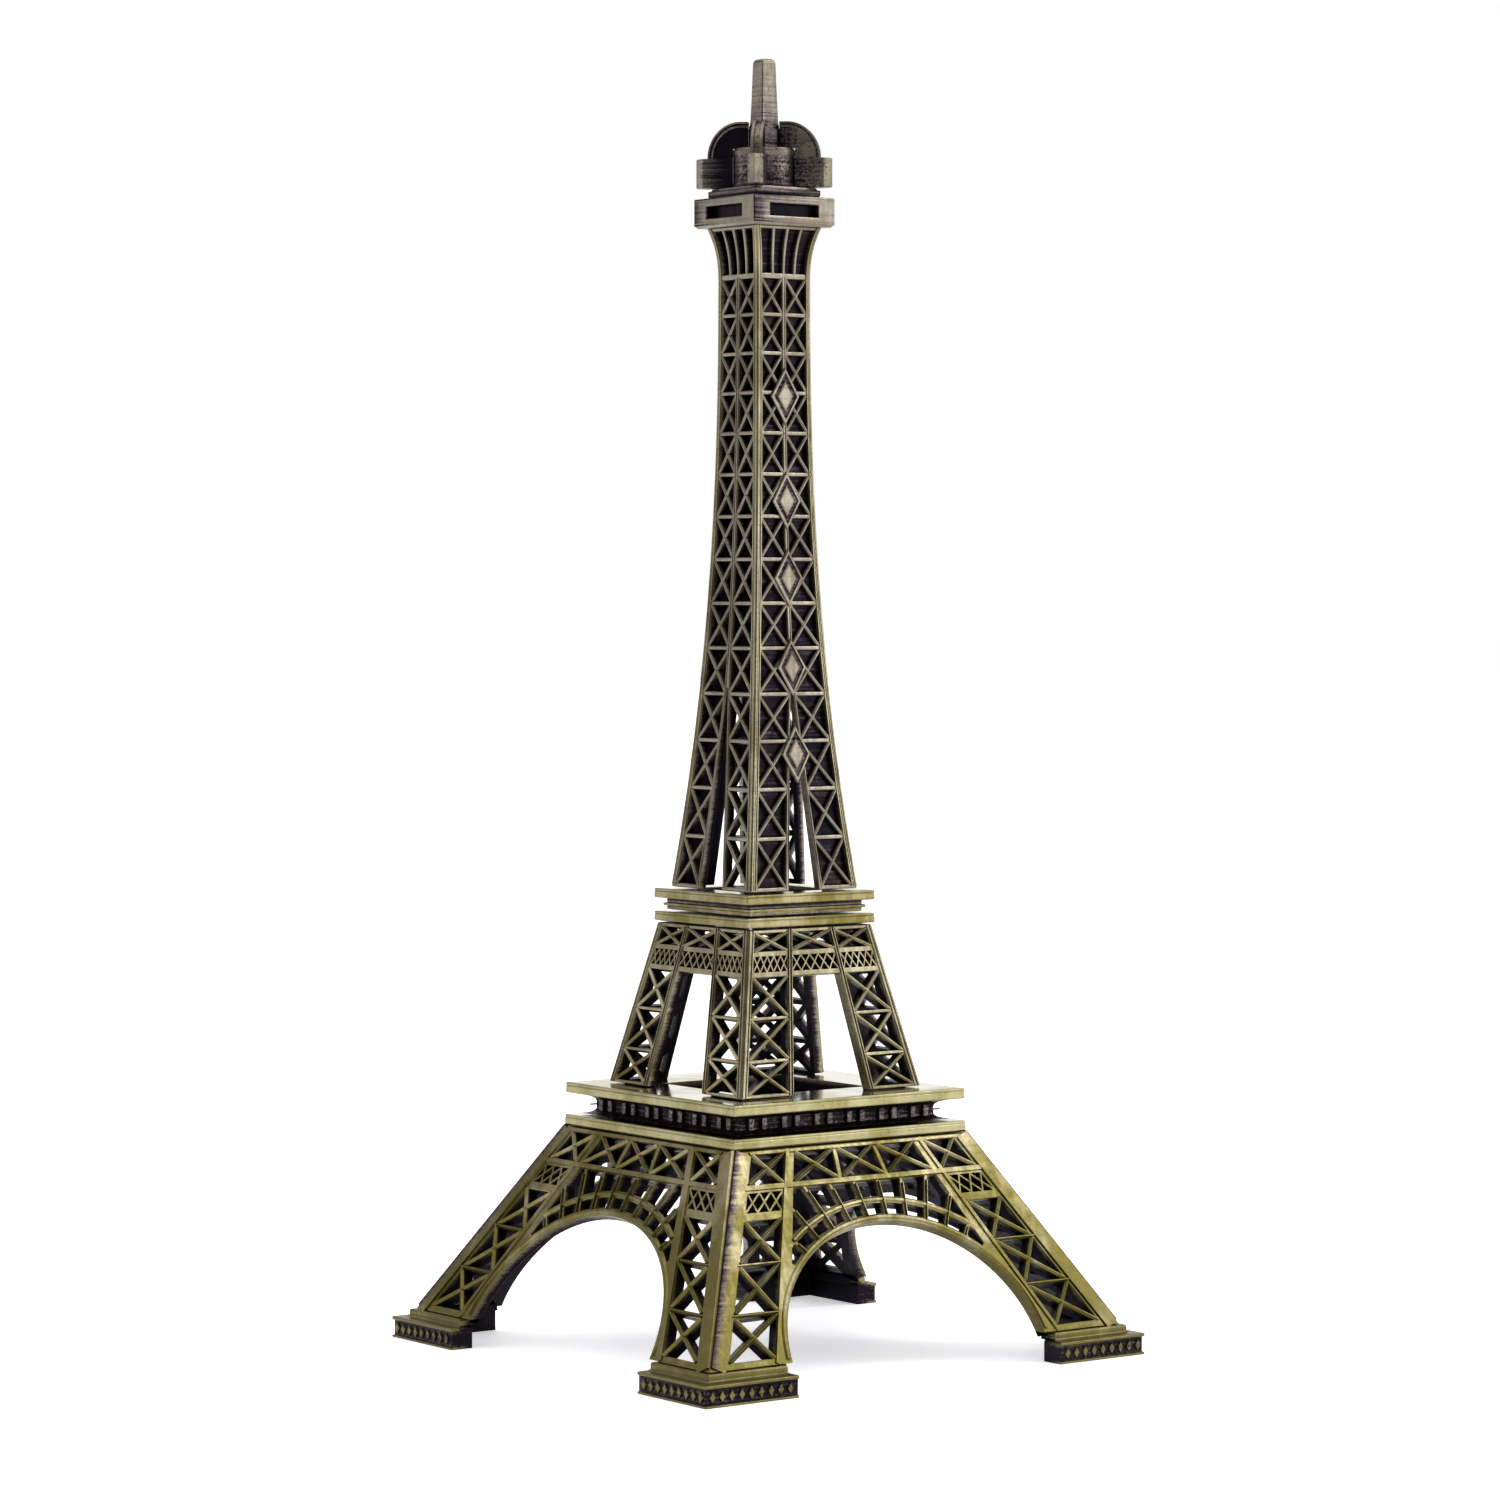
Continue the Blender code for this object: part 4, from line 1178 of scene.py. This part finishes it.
def build_step_plate():
    half = STEP_HIGH.x
    low, high = GALLERY_HIGH.z + 0.1, STEP_HIGH.z
    shape = Shape()
    shape.add(*stacked([(half - 0.15, low, 0.4), (half, low + 0.2, 0.36), (half, high - 0.35, 0.34),
                        (half - 0.35, high - 0.3, 0.0), (half - 0.4, high, 0.1)], square_ring))
    cast(shape, "step_plate", [DUSK], bevel=0.1)


def build_drum():
    """The round lantern room with a low plinth ring and a cap moulding."""
    radius = DRUM_HIGH.x + 0.12
    low, high = DRUM_LOW.z, DRUM_HIGH.z
    shape = Shape()
    shape.add(*stacked([(radius, low, 0.59), (radius, low + 0.4, 0.54), (radius - 0.12, low + 0.55, 0.59),
                        (radius - 0.14, high - 1.1, 0.39), (radius - 0.05, high - 0.9, 0.24),
                        (radius, high - 0.4, 0.19), (radius - 0.25, high, 0.24), (1.6, high + 0.05, 0.64)],
                       round_ring))
    piece = cast(shape, "lantern_drum", [UMBER])
    piece.data.shade_smooth()
    piece.data.set_sharp_from_angle(angle=math.radians(35.0))


def build_spire():
    """A tapered square spire on a short pillar, soft at the tip."""
    low, top = DRUM_HIGH.z + 0.1, SPIRE_HIGH.z
    half = SPIRE_HIGH.x
    shape = Shape()
    shape.add(*stacked([(half + 0.1, low, 0.6), (half + 0.1, 170.2, 0.5), (half - 0.04, 171.2, 0.42),
                        (half - 0.15, 174.0, 0.28), (1.16, top - 0.6, 0.2), (1.05, top - 0.2, 0.15),
                        (0.8, top - 0.03, 0.1), (0.5, top, 0.1)], square_ring))
    cast(shape, "spire", [GREY_KHAKI], bevel=0.14)


def on_diagonal(points):
    """Turn points given along +X so that they run out to the front left corner."""
    root = math.sqrt(0.5)
    return [(-root * x + root * y, -root * x - root * y, z) for x, y, z in points]


def upright_plate(profile, near, far, depth_near, depth_far):
    """A plate that stands on the diagonal, from a profile of (distance out, height).

    Its tarnish fades from the axis of the tower out to the edge of the fin.
    """
    points, faces, _ = loft([[(out, near, z) for out, z in profile], [(out, far, z) for out, z in profile]])
    depths = [between(depth_near, depth_far, min(1.0, out / FIN_REACH)) for out, _ in profile]
    return on_diagonal(points), faces, depths * 2


FIN_CENTRE = 3.3
FIN_SPRING = 166.2
FIN_REACH = 7.9


def shoulder(radius_out, rise, count=16):
    """The rounded outer shoulder of a crown fin."""
    angles = [math.pi / 2.0 * step / count for step in range(count + 1)]
    return [(FIN_CENTRE + radius_out * math.cos(angle), FIN_SPRING + rise * math.sin(angle))
            for angle in angles]


def fin_rim(outer, inner, inner_end, fin_top):
    """The arched band of a fin between two distances in from its edge."""
    reach, rise = 4.6, fin_top - FIN_SPRING
    far = [(FIN_CENTRE + reach - outer, FIN_SPRING - 0.6)] + shoulder(reach - outer, rise - outer)
    near = shoulder(reach - inner, rise - inner) + [(inner_end, fin_top - inner)]
    return far + [(inner_end, fin_top - outer)] + list(reversed(near)) + [
        (FIN_CENTRE + reach - inner, FIN_SPRING - 0.6)]


def crown_arm(web_depth):
    """A diagonal arm: a block with a pointed end, and an arched fin with a double rim.

    web_depth is how dark the flat of the fin is near its edge.
    """
    shape = Shape()
    inner, drum_side = 2.2, 4.38
    top = ARM_HIGH.z
    low = STEP_HIGH.z + 0.05
    plan = [(drum_side, -1.1), (8.5, -1.1), (9.6, 0.0), (8.5, 1.1), (drum_side, 1.1)]
    small = [(drum_side, -1.0), (8.45, -1.0), (9.42, 0.0), (8.45, 1.0), (drum_side, 1.0)]
    rings = [flat_ring(small, low), flat_ring(plan, low + 0.12), flat_ring(plan, FIN_SPRING - 0.14),
             flat_ring(small, FIN_SPRING)]
    points, faces, _ = loft([on_diagonal(ring) for ring in rings])
    shape.add(points, faces, [0.6, 0.3, 0.0, 0.3, 0.6] * 4)
    web = [(drum_side, 165.0), (7.0, 165.0)] + shoulder(4.3, top - FIN_SPRING - 0.3)
    web += [(inner, top - 0.3), (inner, DRUM_HIGH.z + 0.1), (drum_side, DRUM_HIGH.z + 0.1)]
    shape.add(*upright_plate(web, -0.45, 0.45, 0.9, web_depth))
    for side in (-1.0, 1.0):
        for outer, far, thick, depth in ((0.0, 0.26, 0.83, -0.1), (0.24, 0.52, 0.56, 0.5),
                                         (0.5, 0.8, 0.74, 0.1)):
            near_far = sorted((side * 0.4, side * thick))
            shape.add(*upright_plate(fin_rim(outer, far, inner, top), *near_far, depth + 0.3, depth))
    return shape


def build_crown_arms():
    for turn, corner in enumerate(CORNERS):
        metal, web_depth = ARM_LOOKS[turn]
        cast(crown_arm(web_depth), f"crown_arm_{corner}", [metal], turn, 0.05)


# ---- stage, light and camera
def white_card():
    """The card of the floor, with a little light of its own, so that the shadow stays faint."""
    material, _, shader = new_material("white_card")
    shader.inputs["Base Color"].default_value = shade(0.9, 0.9, 0.91)
    shader.inputs["Roughness"].default_value = 0.6
    shader.inputs["Emission Color"].default_value = shade(1.0, 0.98, 1.0)
    shader.inputs["Emission Strength"].default_value = 0.5
    return material


def build_floor():
    reach = 4.0
    mesh = bpy.data.meshes.new("floor")
    mesh.from_pydata([(-reach, -reach, 0.0), (reach, -reach, 0.0), (reach, reach, 0.0), (-reach, reach, 0.0)],
                     [], [(0, 1, 2, 3)])
    mesh.materials.append(white_card())
    floor = add_object("floor", mesh)


def build_world():
    """A grey room with a white backdrop behind the tower, a white ceiling and a white view."""
    world = bpy.data.worlds.new("studio")
    bpy.context.scene.world = world
    world.use_nodes = True
    tree = world.node_tree
    towards_backdrop = (0.597, 0.802, 0.05)
    where = node(tree, "ShaderNodeTexCoord")
    facing = node(tree, "ShaderNodeVectorMath", operation="DOT_PRODUCT")
    tree.links.new(where.outputs["Generated"], facing.inputs[0])
    facing.inputs[1].default_value = towards_backdrop
    axes = node(tree, "ShaderNodeSeparateXYZ")
    tree.links.new(where.outputs["Generated"], axes.inputs["Vector"])
    backdrop = ramped(tree, facing.outputs["Value"], 0.55, 0.85)
    ceiling = ramped(tree, axes.outputs["Z"], 0.55, 0.95)
    room = blended(tree, shade(0.235, 0.23, 0.245), shade(1.0, 1.0, 1.0),
                   calculated(tree, "MAXIMUM", backdrop, ceiling))
    direct = node(tree, "ShaderNodeLightPath").outputs["Is Camera Ray"]
    background = tree.nodes["Background"]
    tree.links.new(blended(tree, room, shade(1.0, 1.0, 1.0), direct), background.inputs["Color"])
    background.inputs["Strength"].default_value = 1.0


def add_softbox(name, place, target, width, height, power):
    light = bpy.data.lights.new(name, "AREA")
    light.shape = "RECTANGLE"
    light.size = width
    light.size_y = height
    light.energy = power
    lamp = add_object(name, light)
    lamp.location = place
    lamp.rotation_euler = (Vector(target) - Vector(place)).to_track_quat("-Z", "Y").to_euler()
    lamp.visible_camera = False


def add_soft_sun(strength, spread):
    """Light from above, even over the whole floor."""
    light = bpy.data.lights.new("ceiling_light", "SUN")
    light.energy = strength
    light.angle = math.radians(spread)
    lamp = add_object("ceiling_light", light)
    lamp.rotation_euler = (math.radians(-14.0), math.radians(-10.0), 0.0)


def build_camera():
    """The photograph's view: from the front left, a little above the middle of the tower."""
    yaw = math.radians(-36.66)
    pitch = math.radians(-1.92)
    distance, aside, height = 0.6703, -0.00198, 0.1062
    camera = bpy.data.cameras.new("camera")
    camera.sensor_width = 36.0
    camera.lens = 115.0
    camera.clip_start = 0.01
    view = add_object("camera", camera)
    view.location = (distance * math.sin(yaw) + aside * math.cos(yaw),
                     -distance * math.cos(yaw) + aside * math.sin(yaw), height)
    ahead = Vector((-math.sin(yaw) * math.cos(pitch), math.cos(yaw) * math.cos(pitch), math.sin(pitch)))
    view.rotation_euler = ahead.to_track_quat("-Z", "Y").to_euler()
    bpy.context.scene.camera = view


build_base_sides()
build_feet()
build_first_platform()
build_mid_sides()
build_second_platform()
build_shaft_sides()
build_gallery()
build_step_plate()
build_drum()
build_spire()
build_crown_arms()

build_floor()
build_world()
add_soft_sun(1.35, 80.0)
add_softbox("left_softbox", (-0.75, 0.75, 0.3), (0.0, 0.0, 0.1), 0.5, 0.6, 1.5)
add_softbox("right_softbox", (0.75, -0.9, 0.3), (0.0, 0.0, 0.1), 0.5, 0.6, 3.7)
add_softbox("high_softbox", (0.65, -0.45, 0.8), (0.0, 0.0, 0.03), 0.35, 0.35, 4.0)
build_camera()
bpy.context.scene.view_settings.view_transform = "Standard"
